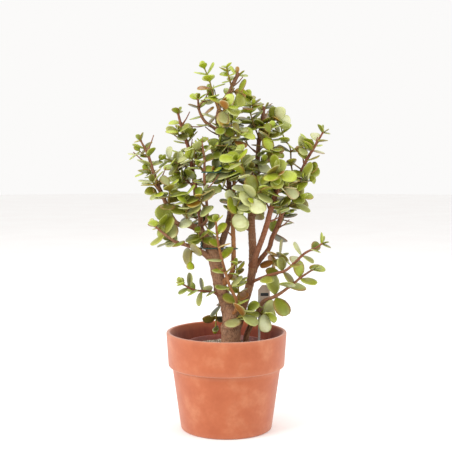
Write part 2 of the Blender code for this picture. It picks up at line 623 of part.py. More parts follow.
def turned(profile, sides):
    """A closed body of revolution about Z from a profile that starts and ends on the axis."""
    bm = bmesh.new()
    row = [bm.verts.new((r, 0, z)) for r, z in profile]
    edges = [bm.edges.new(pair) for pair in zip(row, row[1:])]
    bmesh.ops.spin(bm, geom=row + edges, cent=(0, 0, 0), axis=(0, 0, 1), angle=math.tau,
                   steps=sides, use_merge=True)
    bmesh.ops.remove_doubles(bm, verts=bm.verts, dist=0.001)
    return bm


def drain_cutters(name, count, diameter, circle, top):
    """Round cutters on a circle, through a pot's floor, as one object."""
    bm = bmesh.new()
    for k in range(count):
        angle = math.tau * (k + 0.5) / count
        place = Matrix.Translation((circle / 2 * math.cos(angle), circle / 2 * math.sin(angle), top / 2))
        bmesh.ops.create_cone(bm, cap_ends=True, segments=12, radius1=diameter / 2,
                              radius2=diameter / 2, depth=top + 10, matrix=place)
    return add_object(name, bm, material("cutter", (0.5, 0.5, 0.5), 0.5))


# ---------------------------------------------------------------- pots and soil
def terracotta_pot():
    foot = POT_FOOT_DIAMETER / 2
    shoulder = POT_SHOULDER_DIAMETER / 2
    band = BAND_FOOT_DIAMETER / 2
    rim = POT_RIM_DIAMETER / 2
    band_z = POT_HEIGHT - BAND_HEIGHT
    lip = LIP_ROUNDING
    profile = [(0, 0), (foot - FOOT_ROUNDING, 0)]
    profile += arc((foot - FOOT_ROUNDING, FOOT_ROUNDING), FOOT_ROUNDING, -60, 0, 2)
    profile += [(shoulder, band_z), (band - lip, band_z)]
    profile += arc((band - lip, band_z + lip), lip, -60, 0, 2)
    profile += arc((rim - lip, POT_HEIGHT - lip), lip, 0, 90, 2)
    profile += arc((rim - POT_WALL + lip, POT_HEIGHT - lip), lip, 90, 180, 2)
    profile += [(bore_radius(POT_FLOOR + 6), POT_FLOOR + 6), (bore_radius(POT_FLOOR) - 5, POT_FLOOR)]
    profile += [(0, POT_FLOOR)]
    bm = turned(profile, POT_SIDES)
    SOLIDS.append(BVHTree.FromBMesh(bm))
    pot = add_object("terracotta_pot", bm, material("terracotta", (0.56, 0.21, 0.12), 0.85))
    cut(pot, drain_cutters("pot_drains", DRAIN_COUNT, DRAIN_DIAMETER, DRAIN_CIRCLE_DIAMETER, POT_FLOOR))


def nursery_pot():
    foot = liner_radius(LINER_FLOOR_Z)
    top = liner_radius(LINER_RIM_Z)
    under = LINER_RIM_Z - LINER_RIM_HEIGHT
    floor = LINER_FLOOR_Z + LINER_WALL
    edge = 0.8
    profile = [
        (0, LINER_FLOOR_Z), (foot, LINER_FLOOR_Z), (liner_radius(under), under),
        (top + LINER_RIM_WIDTH, under + edge), (top + LINER_RIM_WIDTH, LINER_RIM_Z - edge),
        (top + LINER_RIM_WIDTH - edge, LINER_RIM_Z), (top - LINER_WALL, LINER_RIM_Z),
        (foot - LINER_WALL, floor), (0, floor)]
    bm = turned(profile, POT_SIDES - 6)
    SOLIDS.append(BVHTree.FromBMesh(bm))
    liner = add_object("nursery_pot", bm, material("brick_plastic", (0.30, 0.09, 0.07), 0.5))
    cut(liner, drain_cutters("liner_drains", LINER_DRAIN_COUNT, LINER_DRAIN_DIAMETER, foot, floor))


def label_place():
    """Where the label's stake enters the soil, so that its point clears the nursery pot's wall."""
    reach = liner_radius(SOIL_Z - STAKE_DEPTH) - LINER_WALL - STAKE_CLEARANCE
    return Vector((reach * 0.97, reach * 0.24, SOIL_Z))


def soil_socket(stem):
    """A cutter round the buried end of a trunk, a gap wider and deeper than the trunk."""
    bm = bmesh.new()
    rings = [stem.ring(distance, SEAT_GAP) for distance in stem.spaced(0, ROOT_DEPTH + 12, WOOD_STEP / 3)]
    rings[0] = [corner - Vector((0, 0, SEAT_GAP)) for corner in rings[0]]
    grow_tube(bm, rings)
    return add_object(stem.name + "_socket", bm, material("cutter", (0.5, 0.5, 0.5), 0.5))


def label_slot():
    """A cutter round the label's stake, a gap wider and deeper than the stake."""
    bm = bmesh.new()
    bmesh.ops.create_cube(bm, size=1.0)
    tall = STAKE_DEPTH + SEAT_GAP + 10
    size = (STAKE_WIDTH + 2 * SEAT_GAP, LABEL_THICKNESS + 2 * SEAT_GAP, tall)
    bmesh.ops.scale(bm, vec=size, verts=bm.verts)
    lift = Vector((0, 0, tall / 2 - STAKE_DEPTH - SEAT_GAP))
    bmesh.ops.translate(bm, vec=label_place() + lift, verts=bm.verts)
    return add_object("label_slot", bm, material("cutter", (0.5, 0.5, 0.5), 0.5))


def potting_soil():
    floor = LINER_FLOOR_Z + LINER_WALL + SEAT_GAP
    low, high = (liner_radius(z) - LINER_WALL - SEAT_GAP for z in (floor, SOIL_Z))
    profile = [(0, floor), (low, floor), (high, SOIL_Z), (high * 0.6, SOIL_Z + SOIL_CROWN * 0.7),
               (0, SOIL_Z + SOIL_CROWN)]
    bm = turned(profile, POT_SIDES - 6)
    SOLIDS.append(BVHTree.FromBMesh(bm))
    soil = add_object("potting_soil", bm, material("soil", (0.09, 0.06, 0.04), 0.95))
    for name in ("main_trunk", "second_trunk"):
        cut(soil, soil_socket(STEMS[name]))
    cut(soil, label_slot())


# ---------------------------------------------------------------- the label and the ties
def plant_label():
    half = STAKE_WIDTH / 2
    top = LABEL_LIFT + LABEL_HEIGHT
    outline = [(-half, -STAKE_DEPTH + 6), (0, -STAKE_DEPTH), (half, -STAKE_DEPTH + 6), (half, LABEL_LIFT),
               (LABEL_WIDTH - half, LABEL_LIFT), (LABEL_WIDTH - half, top), (-half, top)]
    bm = bmesh.new()
    near = Vector((0, -LABEL_THICKNESS / 2, 0))
    corners = [label_place() + near + Vector((x, 0, z)) for x, z in outline]
    grow_tube(bm, [corners, [corner - near * 2 for corner in corners]])
    SOLIDS.append(BVHTree.FromBMesh(bm))
    add_object("plant_label", bm, material("label_plastic", (0.60, 0.45, 0.36), 0.45))


def wire(name, line):
    """A round wire along a line of points."""
    rings = []
    side = Vector((0, 0, 1))
    for k, point in enumerate(line):
        along = (line[min(k + 1, len(line) - 1)] - line[max(k - 1, 0)]).normalized()
        side = (side - along * side.dot(along)).normalized()
        up = along.cross(side)
        angles = [math.tau * j / 5 for j in range(5)]
        rings.append([point + (side * math.cos(a) + up * math.sin(a)) * WIRE_DIAMETER / 2 for a in angles])
    bm = bmesh.new()
    grow_tube(bm, rings)
    TIES.append(BVHTree.FromBMesh(bm))
    SOLIDS.append(TIES[-1])
    add_object(name, bm, material("green_wire", (0.02, 0.10, 0.08), 0.4))


def tie_line(names, height, facing, tail):
    """A wire's line: once round the named stems, then its two ends twisted together."""
    z = SOIL_Z + height * RISE
    middles = [place for name in names for place in STEMS[name].at_height(z)]
    reach = WIRE_DIAMETER / 2 + SEAT_GAP + 1.0
    open_angle = math.radians(9)
    start = math.radians(facing)
    loop = []
    count = 30
    for k in range(count + 1):
        angle = start + open_angle + (math.tau - 2 * open_angle) * k / count
        out = Vector((math.cos(angle), math.sin(angle), 0))
        middle, radius = max(middles, key=lambda item: item[0].dot(out) + item[1])
        loop.append(Vector((middle.x, middle.y, z)) + out * (radius * 1.12 + reach))
    out = Vector((math.cos(start), math.sin(start), 0))
    across = Vector((-out.y, out.x, 0))
    root = (loop[0] + loop[-1]) / 2 + out * WIRE_DIAMETER * 1.8
    strands = []
    for sign in (1, -1):
        turns = [math.tau * k / 8 for k in range(1, 11)]
        strands.append([root + (across * math.cos(turn) + out * math.sin(turn)) * sign * WIRE_DIAMETER * 0.62
                        + tail * (k / 9) for k, turn in enumerate(turns)])
    return strands[0][::-1] + loop + strands[1]


# ---------------------------------------------------------------- the plant
WOOD_COLORS = {
    "bark": (0.24, 0.14, 0.10),
    "brown": (0.21, 0.10, 0.06),
    "red": (0.23, 0.08, 0.05),
    "orange": (0.33, 0.14, 0.07),
    "dark": (0.10, 0.05, 0.035),
    "leaf": (0.20, 0.26, 0.06),
}


def grow_wood():
    """Every stem and shoot, each from the one that it grows from."""
    slim = (TWIG, TWIG, TWIG * 0.8)
    for growth in WOOD:
        grow_one(growth, [radius * GIRTH for radius in growth.girth], 12 if growth.girth[0] > 10 else 8)
    for name, parent, points, pairs, length, turn in SHOOTS:
        grow_one(Growth(name, parent, points, slim, Leaves(0.3, pairs, length, turn), "leaf"), slim, 4)


def grow_one(growth, girth, sides):
    points = [Vector((x * SPREAD, y * SPREAD, z * RISE + SOIL_Z)) for x, y, z in growth.points]
    parent = STEMS.get(growth.parent)
    if parent:
        points[0] = parent.nearest(points[0])
    else:
        points[0].z = SOIL_Z - ROOT_DEPTH
    stem = Stem(growth.name, points, girth, growth.leaves, growth.tone, sides, TWIGS.get(growth.name))
    if parent:
        stem.step_clear_of(parent)
    STEMS[stem.name] = stem
    SOLIDS.append(stem.tree)


def main():
    for thing in list(bpy.data.objects):
        bpy.data.objects.remove(thing)
    grow_wood()
    terracotta_pot()
    nursery_pot()
    potting_soil()
    plant_label()
    wire("low_tie", tie_line(("main_trunk", "central_leader", "centre_stem"), LOW_TIE_HEIGHT, 198,
                             Vector((0, 0, TIE_TAIL))))
    wire("high_tie", tie_line(("central_leader", "centre_stem", "left_thin_stem"), HIGH_TIE_HEIGHT, 285,
                              Vector((0, 0, TIE_TAIL))))
    for stem in STEMS.values():
        stem.sprigs = sprigs_of(stem)
    for stem in STEMS.values():
        bm = bmesh.new()
        grow_stem(bm, stem)
        add_object(stem.name, bm, material(stem.tone, WOOD_COLORS[stem.tone], 0.6))


main()
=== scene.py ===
"""Potted dwarf jade: the finished look. A terracotta planter, a nursery pot of gritty soil in it,
and a many-stemmed shrub with thick small leaves, two wire ties and a plant label. Lengths are in
millimetres until a mesh is written, in metres. The growth table is the frame's own, so each fine
stem and leaf grows where the frame's solid of it stands."""

import json
import math
import random
from collections import namedtuple

import bmesh
import bpy
from mathutils import Matrix, Vector, noise
from mathutils.bvhtree import BVHTree

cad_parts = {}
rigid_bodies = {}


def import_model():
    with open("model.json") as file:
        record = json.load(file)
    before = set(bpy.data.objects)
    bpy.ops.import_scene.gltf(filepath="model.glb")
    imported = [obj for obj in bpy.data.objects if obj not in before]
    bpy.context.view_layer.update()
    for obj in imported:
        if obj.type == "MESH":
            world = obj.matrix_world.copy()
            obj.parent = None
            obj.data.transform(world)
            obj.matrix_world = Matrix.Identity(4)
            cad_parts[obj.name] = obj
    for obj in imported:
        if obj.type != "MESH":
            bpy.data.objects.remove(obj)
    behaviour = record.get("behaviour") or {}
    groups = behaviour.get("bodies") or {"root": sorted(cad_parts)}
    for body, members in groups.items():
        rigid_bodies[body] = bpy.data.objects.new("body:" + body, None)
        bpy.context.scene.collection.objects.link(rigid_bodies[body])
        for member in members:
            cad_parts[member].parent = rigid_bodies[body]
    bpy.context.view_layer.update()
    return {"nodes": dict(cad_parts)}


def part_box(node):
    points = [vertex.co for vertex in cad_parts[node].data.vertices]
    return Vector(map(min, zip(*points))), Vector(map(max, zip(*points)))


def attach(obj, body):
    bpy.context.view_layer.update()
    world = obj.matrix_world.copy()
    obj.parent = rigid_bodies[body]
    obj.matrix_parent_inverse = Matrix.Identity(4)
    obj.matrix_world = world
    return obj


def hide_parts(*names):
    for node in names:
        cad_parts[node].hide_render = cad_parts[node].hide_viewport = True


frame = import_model()
MM = 0.001

# ---------------------------------------------------------------- sizes, in mm
pot_low, pot_high = (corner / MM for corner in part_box("terracotta_pot"))
liner_low, liner_high = (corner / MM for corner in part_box("nursery_pot"))
label_low, label_high = (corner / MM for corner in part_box("plant_label"))

POT_RIM = (pot_high.x - pot_low.x) / 2
POT_HEIGHT = pot_high.z
POT_FOOT = 80.0
POT_SHOULDER = 94.5
POT_WALL = 7.0
POT_FLOOR = 10.0
BAND_FOOT = 101.5
BAND_HEIGHT = 60.0
LIP_ROUNDING = 2.8
FOOT_ROUNDING = 3.0
DRAINS = (3, 7.0, 35.0)             # count, radius, and radius of the circle that they stand on

LINER_RIM = (liner_high.x - liner_low.x) / 2
LINER_TOP = liner_high.z
LINER_RIM_WIDTH = 2.6
LINER_RIM_HEIGHT = 5.0
LINER_FOOT = 54.0
LINER_WALL = 1.2
LINER_DRAINS = (6, 4.0, 27.0)

SOIL_Z = LINER_TOP - 9.0
SOIL_CROWN = 2.5
SEAT_GAP = 0.3

STAKE_WIDTH = 4.0
LABEL_LIFT = 30.0
WIRE_RADIUS = 1.0
LOW_TIE_HEIGHT = 174.0              # ties above the soil
HIGH_TIE_HEIGHT = 306.0
TIE_TAIL = 12.0

ROOT_DEPTH = 22.0
TWIG = 1.35                         # a twig's radius
SPRIG_LENGTH = 26.0
LEAF_LENGTH = 22.0                  # a typical grown leaf
LEAF_SCALE = LEAF_LENGTH / 17.0     # over the lengths in the table
LEAF_WIDTH = 0.84                   # widest place over length
LEAF_THICKNESS = 2.1
NODE_HEIGHT = 2.0                   # length of stem that a pair of leaves grows from
WOOD_STEP = 24.0                    # spacing of the plain rings that are tested along a stem
LEAF_ROOM = 0.8                     # kept free round a leaf or a side twig when it is placed
GOLDEN_ANGLE = math.radians(137.5)
LIGHT = Vector((-0.22, -0.42, 0.88)).normalized()  # the side that the leaves turn to
LEAF_REACH = 0.62                   # half a leaf with room to spare, over its length

LEAF_FULLNESS = 1.26                # a leaf's length over its frame solid's
LEAF_BODY = 2.7                     # a grown leaf's thickness
TWIG_SHARE = 0.42                   # share of leaf pairs in the thick of the crown with a young twig
YOUNG_ROOM = 0.74                   # share of its length that a young leaf keeps clear of the others
YOUNG_LEAST = 9.5                   # and the shortest that is kept
AXIL_SHARE = 0.15                   # share of the leaf pairs with young leaves in their angles
AUTUMN_SHARE = 0.025                # share of the leaves that have turned
GRIT_COUNT = 1500

WORLD_LIGHT = 1.0
SOFTBOX_SIZE = 1.6                  # these and the camera are in metres and watts
SOFTBOXES = (("key_softbox", (-2.1, -1.3, 1.6), 56.0), ("fill_softbox", (2.2, -1.0, 1.1), 22.0),
             ("top_softbox", (0.2, 0.5, 2.2), 16.0))
AIM = Vector((0, 0, 0.33))
CAMERA_PLACE = (-0.0009, -1.639, 0.485)
CAMERA_TILT = 85.42
CAMERA_LENS = 75.66


# A stem's points are x, y and the height above the soil; girth is its radius along it; leaves are
# where they start, as a share of its length, how many pairs, how long, and how far turned.
Growth = namedtuple("Growth", "name parent points girth leaves tone")
Leaves = namedtuple("Leaves", "start pairs length turn")

WOOD = [
    Growth("main_trunk", None,
           [(7, 0, -ROOT_DEPTH), (7, 0, 8), (8, 0, 51), (1, 0, 77), (-10, 0, 104), (-17, 2, 135),
            (-23, 4, 161), (-29, 6, 176)],
           (17.5, 16.5, 17.5, 14, 11.5, 11, 11, 9), None, "bark"),
    Growth("right_stem", "main_trunk",
           [(8, 4, 30), (20, 12, 41), (29, 14, 71), (38, 14, 98), (45, 16, 133), (46, 20, 168),
            (44, 26, 210), (44, 32, 235), (49, 38, 269), (54, 44, 309), (57, 50, 355), (63, 54, 392),
            (66, 56, 419)],
           (7.5, 8, 7.5, 7.2, 7, 6.8, 6.4, 6, 5, 4.2, 3.9, 3.6, 3.4), Leaves(0.6, 6, 16, 20), "brown"),
    Growth("second_trunk", None,
           [(34, 16, -ROOT_DEPTH), (34, 16, 9), (40, 16, 30), (55, 8, 62), (64, 2, 80), (89, -10, 94),
            (116, -20, 116), (127, -24, 126), (148, -28, 141)],
           (5.4, 5, 4.8, 4.2, 3.6, 3, 2.4, 2, 1.5), Leaves(0.46, 5, 22, 70), "brown"),
    Growth("left_limb", "main_trunk",
           [(-22, 4, 156), (-36, 0, 163), (-46, -8, 171), (-56, -16, 177), (-71, -28, 183), (-87, -36, 189),
            (-106, -40, 203), (-122, -42, 217)],
           (5, 4.4, 4, 3.5, 3, 2.4, 2, 1.5), Leaves(0.62, 3, 19, 40), "brown"),
    Growth("left_outer_stem", "main_trunk",
           [(-29, 6, 176), (-39, 6, 194), (-53, 0, 209), (-66, -8, 215), (-83, -14, 217), (-93, -16, 228),
            (-100, -16, 243), (-109, -14, 266), (-118, -10, 285), (-128, -4, 313), (-135, 0, 335),
            (-149, 6, 362)],
           (7.6, 6.5, 5.8, 4.8, 4.2, 4, 3.6, 3.2, 3, 2.6, 2.2, 1.5), Leaves(0.54, 7, 16, 10), "brown"),
    Growth("left_upright_stem", "left_outer_stem",
           [(-38, 6, 192), (-45, 12, 211), (-46, 14, 228), (-54, 20, 263), (-55, 24, 284), (-59, 30, 304),
            (-66, 38, 345), (-77, 44, 376), (-86, 50, 410)],
           (4.4, 4.2, 4, 3.8, 3.6, 3.4, 3.2, 2.8, 2), Leaves(0.46, 7, 15, 60), "red"),
    # The central leader's dark tint is painted shade: it stands in the crown's shade.
    Growth("central_leader", "main_trunk",
           [(-16, 6, 148), (-10, 18, 177), (-1, 24, 203), (6, 28, 229), (6, 30, 255), (4, 32, 290),
            (1, 34, 331), (-7, 36, 355), (-13, 34, 376), (-16, 24, 398), (-10, 14, 422), (4, 8, 441),
            (11, 6, 456), (20, 4, 474)],
           (6.5, 6, 5.6, 5.4, 5, 4.6, 4.2, 3.8, 3.6, 3.6, 3.5, 3.4, 3.3, 3.3),
           Leaves(0.6, 4, 15, 30), "dark"),
    # The centre stem's orange tint is painted light: reddish-brown wood as it looks where lit.
    Growth("centre_stem", "main_trunk",
           [(0, 0, 110), (9, -8, 132), (12, -6, 155), (12, -4, 188), (11, 2, 213), (12, 8, 240),
            (13, 10, 291), (10, 8, 333)],
           (4.4, 4.2, 4, 3.8, 3.6, 3.2, 2.6, 1.8), Leaves(0.6, 5, 15, 45), "orange"),
    Growth("left_thin_stem", "left_upright_stem",
           [(-45, 12, 211), (-35, -4, 222), (-33, -9, 238), (-35, -10, 261), (-38, -11, 290),
            (-38, -14, 331), (-43, -16, 358)],
           (2.8, 2.6, 2.5, 2.4, 2.2, 2, 1.5), Leaves(0.4, 6, 15, 0), "brown"),
    Growth("leader_fork", "central_leader",
           [(-13, 34, 376), (-24, 40, 384), (-38, 42, 394), (-48, 40, 413), (-50, 38, 434)],
           (3, 2.8, 2.6, 2.2, 1.5), Leaves(0.3, 4, 17, 80), "brown"),
    Growth("right_inner_stem", "right_stem",
           [(45, 18, 140), (51, 8, 160), (63, 0, 194), (70, -4, 217), (75, -8, 237), (84, -12, 268),
            (90, -14, 292), (95, -14, 315)],
           (5.4, 5, 4.8, 4.7, 4.6, 4.5, 4.4, 4.2), Leaves(0.66, 3, 15, 40), "red"),
    Growth("right_outer_stem", "right_stem",
           [(45, 16, 130), (59, 28, 150), (75, 34, 170), (80, 36, 187), (88, 38, 204), (95, 38, 222),
            (99, 38, 238), (112, 36, 265), (133, 32, 310), (143, 30, 331), (155, 28, 351), (169, 26, 376)],
           (4.6, 4.4, 4.2, 4.2, 4.2, 4, 4, 3.6, 3, 2.6, 2.2, 1.5), Leaves(0.48, 8, 16, 10), "red"),
    Growth("front_shoot", "main_trunk",
           [(8, 0, 58), (15, -18, 66), (17, -25, 86), (13, -27, 96), (5, -28, 113), (-6, -32, 151),
            (-12, -36, 175), (-16, -40, 201), (-18, -42, 225)],
           (2.8, 2.7, 2.6, 2.6, 2.5, 2.3, 2.1, 1.9, 1.5), Leaves(0.2, 7, 17, 5), "orange"),
    Growth("low_right_shoot", "right_stem",
           [(41, 14, 108), (47, 0, 116), (55, -8, 121), (68, -14, 127), (88, -22, 134), (100, -26, 138),
            (113, -30, 149), (133, -34, 169), (153, -36, 179), (163, -36, 187)],
           (2.9, 2.8, 2.6, 2.5, 2.4, 2.3, 2.2, 2, 1.8, 1.5), Leaves(0.3, 6, 17, 35), "red"),
    Growth("low_left_shoot", "main_trunk",
           [(-4, 0, 88), (-15, -8, 94), (-23, -13, 99), (-39, -18, 102), (-57, -24, 105), (-76, -28, 116)],
           (2.4, 2.2, 2, 1.8, 1.6, 1.4), Leaves(0.36, 5, 16, 50), "red"),
]

SHOOTS = [
    ("left_outer_side_shoot", "left_outer_stem",
     [(-99, -16, 243), (-98, -27, 258), (-96, -28, 286)], 4, 19, 0),
    ("left_low_shoot", "left_outer_stem", [(-88, -14, 221), (-103, -26, 219), (-114, -30, 213)], 3, 19, 60),
    ("left_front_shoot", "left_outer_stem", [(-66, -8, 215), (-69, -26, 241), (-67, -34, 256)], 4, 20, 10),
    ("left_hanging_shoot", "left_limb", [(-56, -16, 177), (-61, -24, 166), (-62, -26, 153)], 1, 23, 10),
    ("trunk_top_shoot", "left_outer_stem", [(-36, 6, 190), (-46, -18, 194), (-49, -24, 206)], 3, 15, 0),
    ("left_upright_side_shoot", "left_upright_stem",
     [(-60, 31, 310), (-88, 24, 322), (-109, 20, 330)], 5, 15, 0),
    ("crown_tip_shoot", "central_leader",
     [(-13, 19, 411), (-22, 12, 434), (-29, 10, 462), (-39, 8, 486)], 5, 15, 0),
    ("crown_upper_shoot", "central_leader", [(10, 6, 454), (4, 0, 468), (0, -2, 486)], 4, 12, 50),
    ("crown_right_shoot", "central_leader", [(6, 7, 445), (20, -4, 442), (31, -8, 441)], 3, 15, 0),
    ("crown_front_shoot", "central_leader", [(-14, 18, 412), (-3, -6, 411), (6, -16, 420)], 4, 17, 40),
    ("upper_right_shoot", "right_stem",
     [(59, 51, 366), (49, 40, 386), (42, 37, 409), (42, 36, 433)], 5, 15, 20),
    ("right_top_shoot", "right_stem", [(63, 54, 392), (77, 50, 395), (93, 46, 400)], 4, 14, 0),
    ("right_forked_shoot", "right_outer_stem",
     [(121, 34, 284), (114, 36, 317), (112, 40, 348), (102, 42, 363), (94, 44, 392)], 5, 14, 0),
    ("right_fork_side_shoot", "right_forked_shoot",
     [(112, 40, 342), (124, 30, 347), (138, 26, 352)], 3, 14, 30),
    ("right_bend_shoot", "right_outer_stem", [(101, 38, 242), (116, 20, 249), (134, 12, 262)], 3, 20, 20),
    ("right_pale_shoot", "right_outer_stem", [(129, 32, 302), (138, 18, 304), (145, 10, 298)], 3, 19, 0),
    ("inner_left_shoot", "right_inner_stem", [(92, -14, 300), (80, -28, 305), (76, -34, 298)], 3, 19, 60),
    ("inner_right_shoot", "right_inner_stem",
     [(86, -12, 276), (101, -22, 284), (108, -26, 294)], 4, 16, 30),
    ("mint_shoot", "right_stem",
     [(43, 30, 230), (38, -4, 252), (36, -28, 284), (27, -34, 317), (23, -36, 341)], 5, 19, 10),
    ("mint_side_shoot", "mint_shoot", [(37, -16, 264), (48, -32, 269), (60, -38, 280)], 3, 21, 0),
    ("mint_left_shoot", "centre_stem", [(12, 6, 232), (17, -18, 246), (23, -30, 262)], 3, 21, 20),
    ("inner_pale_shoot", "left_thin_stem", [(-34, -9, 243), (-41, -22, 251), (-46, -31, 268)], 3, 19, 0),
    ("middle_left_shoot", "central_leader", [(1, 34, 325), (-14, 14, 337), (-24, -2, 349)], 4, 16, 30),
    ("middle_low_shoot", "central_leader", [(4, 32, 296), (-12, 8, 304), (-22, -12, 311)], 4, 17, 60),
    ("middle_right_shoot", "central_leader", [(-3, 35, 345), (14, 14, 360), (23, 2, 378)], 4, 16, 10),
    ("crown_low_shoot", "central_leader", [(-13, 34, 374), (2, 16, 386), (13, 6, 399)], 4, 15, 45),
    ("stub_shoot", "right_stem", [(54, 44, 312), (66, 30, 329), (79, 20, 348)], 4, 16, 20),
    ("upper_middle_shoot", "right_stem", [(56, 49, 340), (69, 24, 358), (75, 14, 376)], 4, 16, 50),
    ("back_leader_shoot", "central_leader", [(3, 32, 305), (-1, 80, 343), (-8, 98, 370)], 5, 17, 0),
    ("back_right_shoot", "right_stem", [(44, 28, 216), (64, 66, 253), (76, 90, 288)], 5, 17, 30),
    ("back_left_shoot", "left_upright_stem", [(-54, 22, 273), (-74, 64, 298), (-88, 84, 325)], 5, 17, 60),
    ("back_low_shoot", "central_leader", [(-10, 18, 178), (-34, 56, 204), (-54, 78, 232)], 5, 17, 20),
    ("back_outer_shoot", "right_outer_stem", [(78, 36, 178), (97, 72, 208), (114, 92, 243)], 5, 17, 50),
    ("back_crown_shoot", "central_leader", [(-8, 36, 357), (10, 72, 394), (16, 86, 424)], 5, 15, 10),
    ("low_front_shoot", "second_trunk", [(54, 9, 60), (63, -8, 61), (74, -18, 62)], 3, 20, 20),
    ("trunk_front_shoot", "main_trunk", [(10, 0, 46), (28, -28, 60), (38, -36, 70)], 3, 21, 0),
    ("hanging_shoot", "right_outer_stem", [(74, 33, 168), (82, 26, 154), (81, 22, 136)], 3, 17, 10),
    ("fork_shoot", "main_trunk", [(12, 0, 64), (20, -12, 84), (20, -15, 112), (17, -14, 150)], 7, 14, 30),
    ("trunk_left_shoot", "main_trunk", [(-2, 2, 78), (-14, 12, 70), (-18, 13, 52), (-19, 12, 32)], 3, 15, 0),
]


# Side twigs on the older stems: the shares of the stem's length that they grow between, and
# how many there are. Each stands a golden angle further round than the one below it.
TWIGS = {
    "right_stem": (0.46, 0.94, 8), "left_outer_stem": (0.42, 0.90, 5), "left_upright_stem": (0.30, 0.90, 6),
    "central_leader": (0.40, 0.94, 9), "centre_stem": (0.42, 0.92, 6), "left_thin_stem": (0.30, 0.85, 4),
    "leader_fork": (0.30, 0.80, 2), "right_inner_stem": (0.48, 0.93, 5), "right_outer_stem": (0.34, 0.88, 6),
    "front_shoot": (0.50, 0.85, 1), "left_limb": (0.50, 0.80, 1),
}


# ---------------------------------------------------------------- nodes and colours
def srgb(code, alpha=1.0):
    """A #rrggbb colour as the linear red, green, blue and alpha that Blender mixes in."""
    shares = [int(code[k:k + 2], 16) / 255 for k in (1, 3, 5)]
    return (*(s / 12.92 if s <= 0.04045 else ((s + 0.055) / 1.055) ** 2.4 for s in shares), alpha)


def add(tree, kind, sockets=None, stops=(), **settings):
    """Add a node: its own settings, its ramp's colours, and its sockets set or linked."""
    node = tree.nodes.new(kind)
    for name, value in settings.items():
        setattr(node, name, value)
    for k, (place, code) in enumerate(stops):
        line = node.color_ramp.elements
        stop = line[k] if k < len(line) else line.new(place)
        stop.position = place
        stop.color = srgb(code)
    for name, value in (sockets or {}).items():
        if isinstance(value, bpy.types.NodeSocket):
            tree.links.new(value, node.inputs[name])
        else:
            node.inputs[name].default_value = value
    return node


def finish(name, **sockets):
    """A new material whose Principled shader has these sockets set, its tree, its shader and the
    piece's own coordinates."""
    shade = bpy.data.materials.new(name)
    shade.use_nodes = True
    tree = shade.node_tree
    shader = tree.nodes["Principled BSDF"]
    for socket, value in sockets.items():
        shader.inputs[socket.replace("_", " ")].default_value = value
    return shade, tree, shader, add(tree, "ShaderNodeTexCoord").outputs["Object"]


def per_mm(size):
    """The scale of a pattern whose grains are about size mm across."""
    return 1 / (size * MM)


# ---------------------------------------------------------------- materials
NOISE = "ShaderNodeTexNoise"
RAMP = "ShaderNodeValToRGB"
MIX = "ShaderNodeMix"              # sockets 0, 6 and 7: the share and two colours; output 2 is the result
RANGE = "ShaderNodeMapRange"
MATH = "ShaderNodeMath"
MAPPING = "ShaderNodeMapping"
ATTRIBUTE = "ShaderNodeAttribute"
BUMP = "ShaderNodeBump"


def terracotta():
    """Unglazed low-fired clay, thrown and dried: matt, with cloudy paler patches of salt 34 mm wide,
    5 mm mottling, fine grit, and a chalky dust that pales it where it turns away. The inner
    wall is much darker and redder: partly damp clay, partly painted shade in the pot's hollow."""
    shade, tree, shader, place = finish("fired_terracotta", Roughness=0.86, Specular_IOR_Level=0.3,
                                        Sheen_Weight=0.35, Sheen_Roughness=0.5)
    clouds = add(tree, NOISE, {"Vector": place, "Scale": per_mm(34), "Detail": 3}).outputs["Fac"]
    mottle = add(tree, NOISE, {"Vector": place, "Scale": per_mm(5), "Detail": 4}).outputs["Fac"]
    body = add(tree, RAMP, {"Fac": clouds},
               [(0.30, "#a85936"), (0.52, "#b0613d"), (0.72, "#bb7450")]).outputs["Color"]
    spots = add(tree, RANGE, {"Value": mottle, "From Min": 0.35, "From Max": 0.75,
                              "To Max": 0.32}).outputs["Result"]
    body = add(tree, MIX, {0: spots, 6: body, 7: srgb("#9c4f2f")}, data_type="RGBA").outputs[2]
    worn = add(tree, ATTRIBUTE, attribute_name="wear").outputs["Fac"]
    chalk = add(tree, MATH, {0: worn, 1: 0.3}, operation="MULTIPLY").outputs[0]
    body = add(tree, MIX, {0: chalk, 6: body, 7: srgb("#c28e73")}, data_type="RGBA").outputs[2]
    drawn_up = add(tree, MAPPING, {"Vector": place, "Scale": (1, 1, 0.25)}).outputs["Vector"]
    streaks = add(tree, NOISE, {"Vector": drawn_up, "Scale": per_mm(9), "Detail": 3}).outputs["Fac"]
    # The inner wall's tone: damp clay, darkened further as painted shade of the pot's hollow.
    damp = add(tree, RAMP, {"Fac": streaks},
               [(0.3, "#7e3723"), (0.6, "#8f442d"), (0.8, "#984e37")]).outputs["Color"]
    inside = add(tree, ATTRIBUTE, attribute_name="inside").outputs["Fac"]
    coat = add(tree, MIX, {0: inside, 6: body, 7: damp}, data_type="RGBA").outputs[2]
    tree.links.new(coat, shader.inputs["Base Color"])
    grit = add(tree, NOISE, {"Vector": place, "Scale": per_mm(0.9), "Detail": 2}).outputs["Fac"]
    waves = add(tree, MATH, {0: clouds, 1: 2.0}, operation="MULTIPLY").outputs[0]
    height = add(tree, MATH, {0: grit, 1: waves}, operation="ADD").outputs[0]
    relief = add(tree, BUMP, {"Height": height, "Distance": 0.22 * MM, "Strength": 0.45})
    tree.links.new(relief.outputs["Normal"], shader.inputs["Normal"])
    return shade


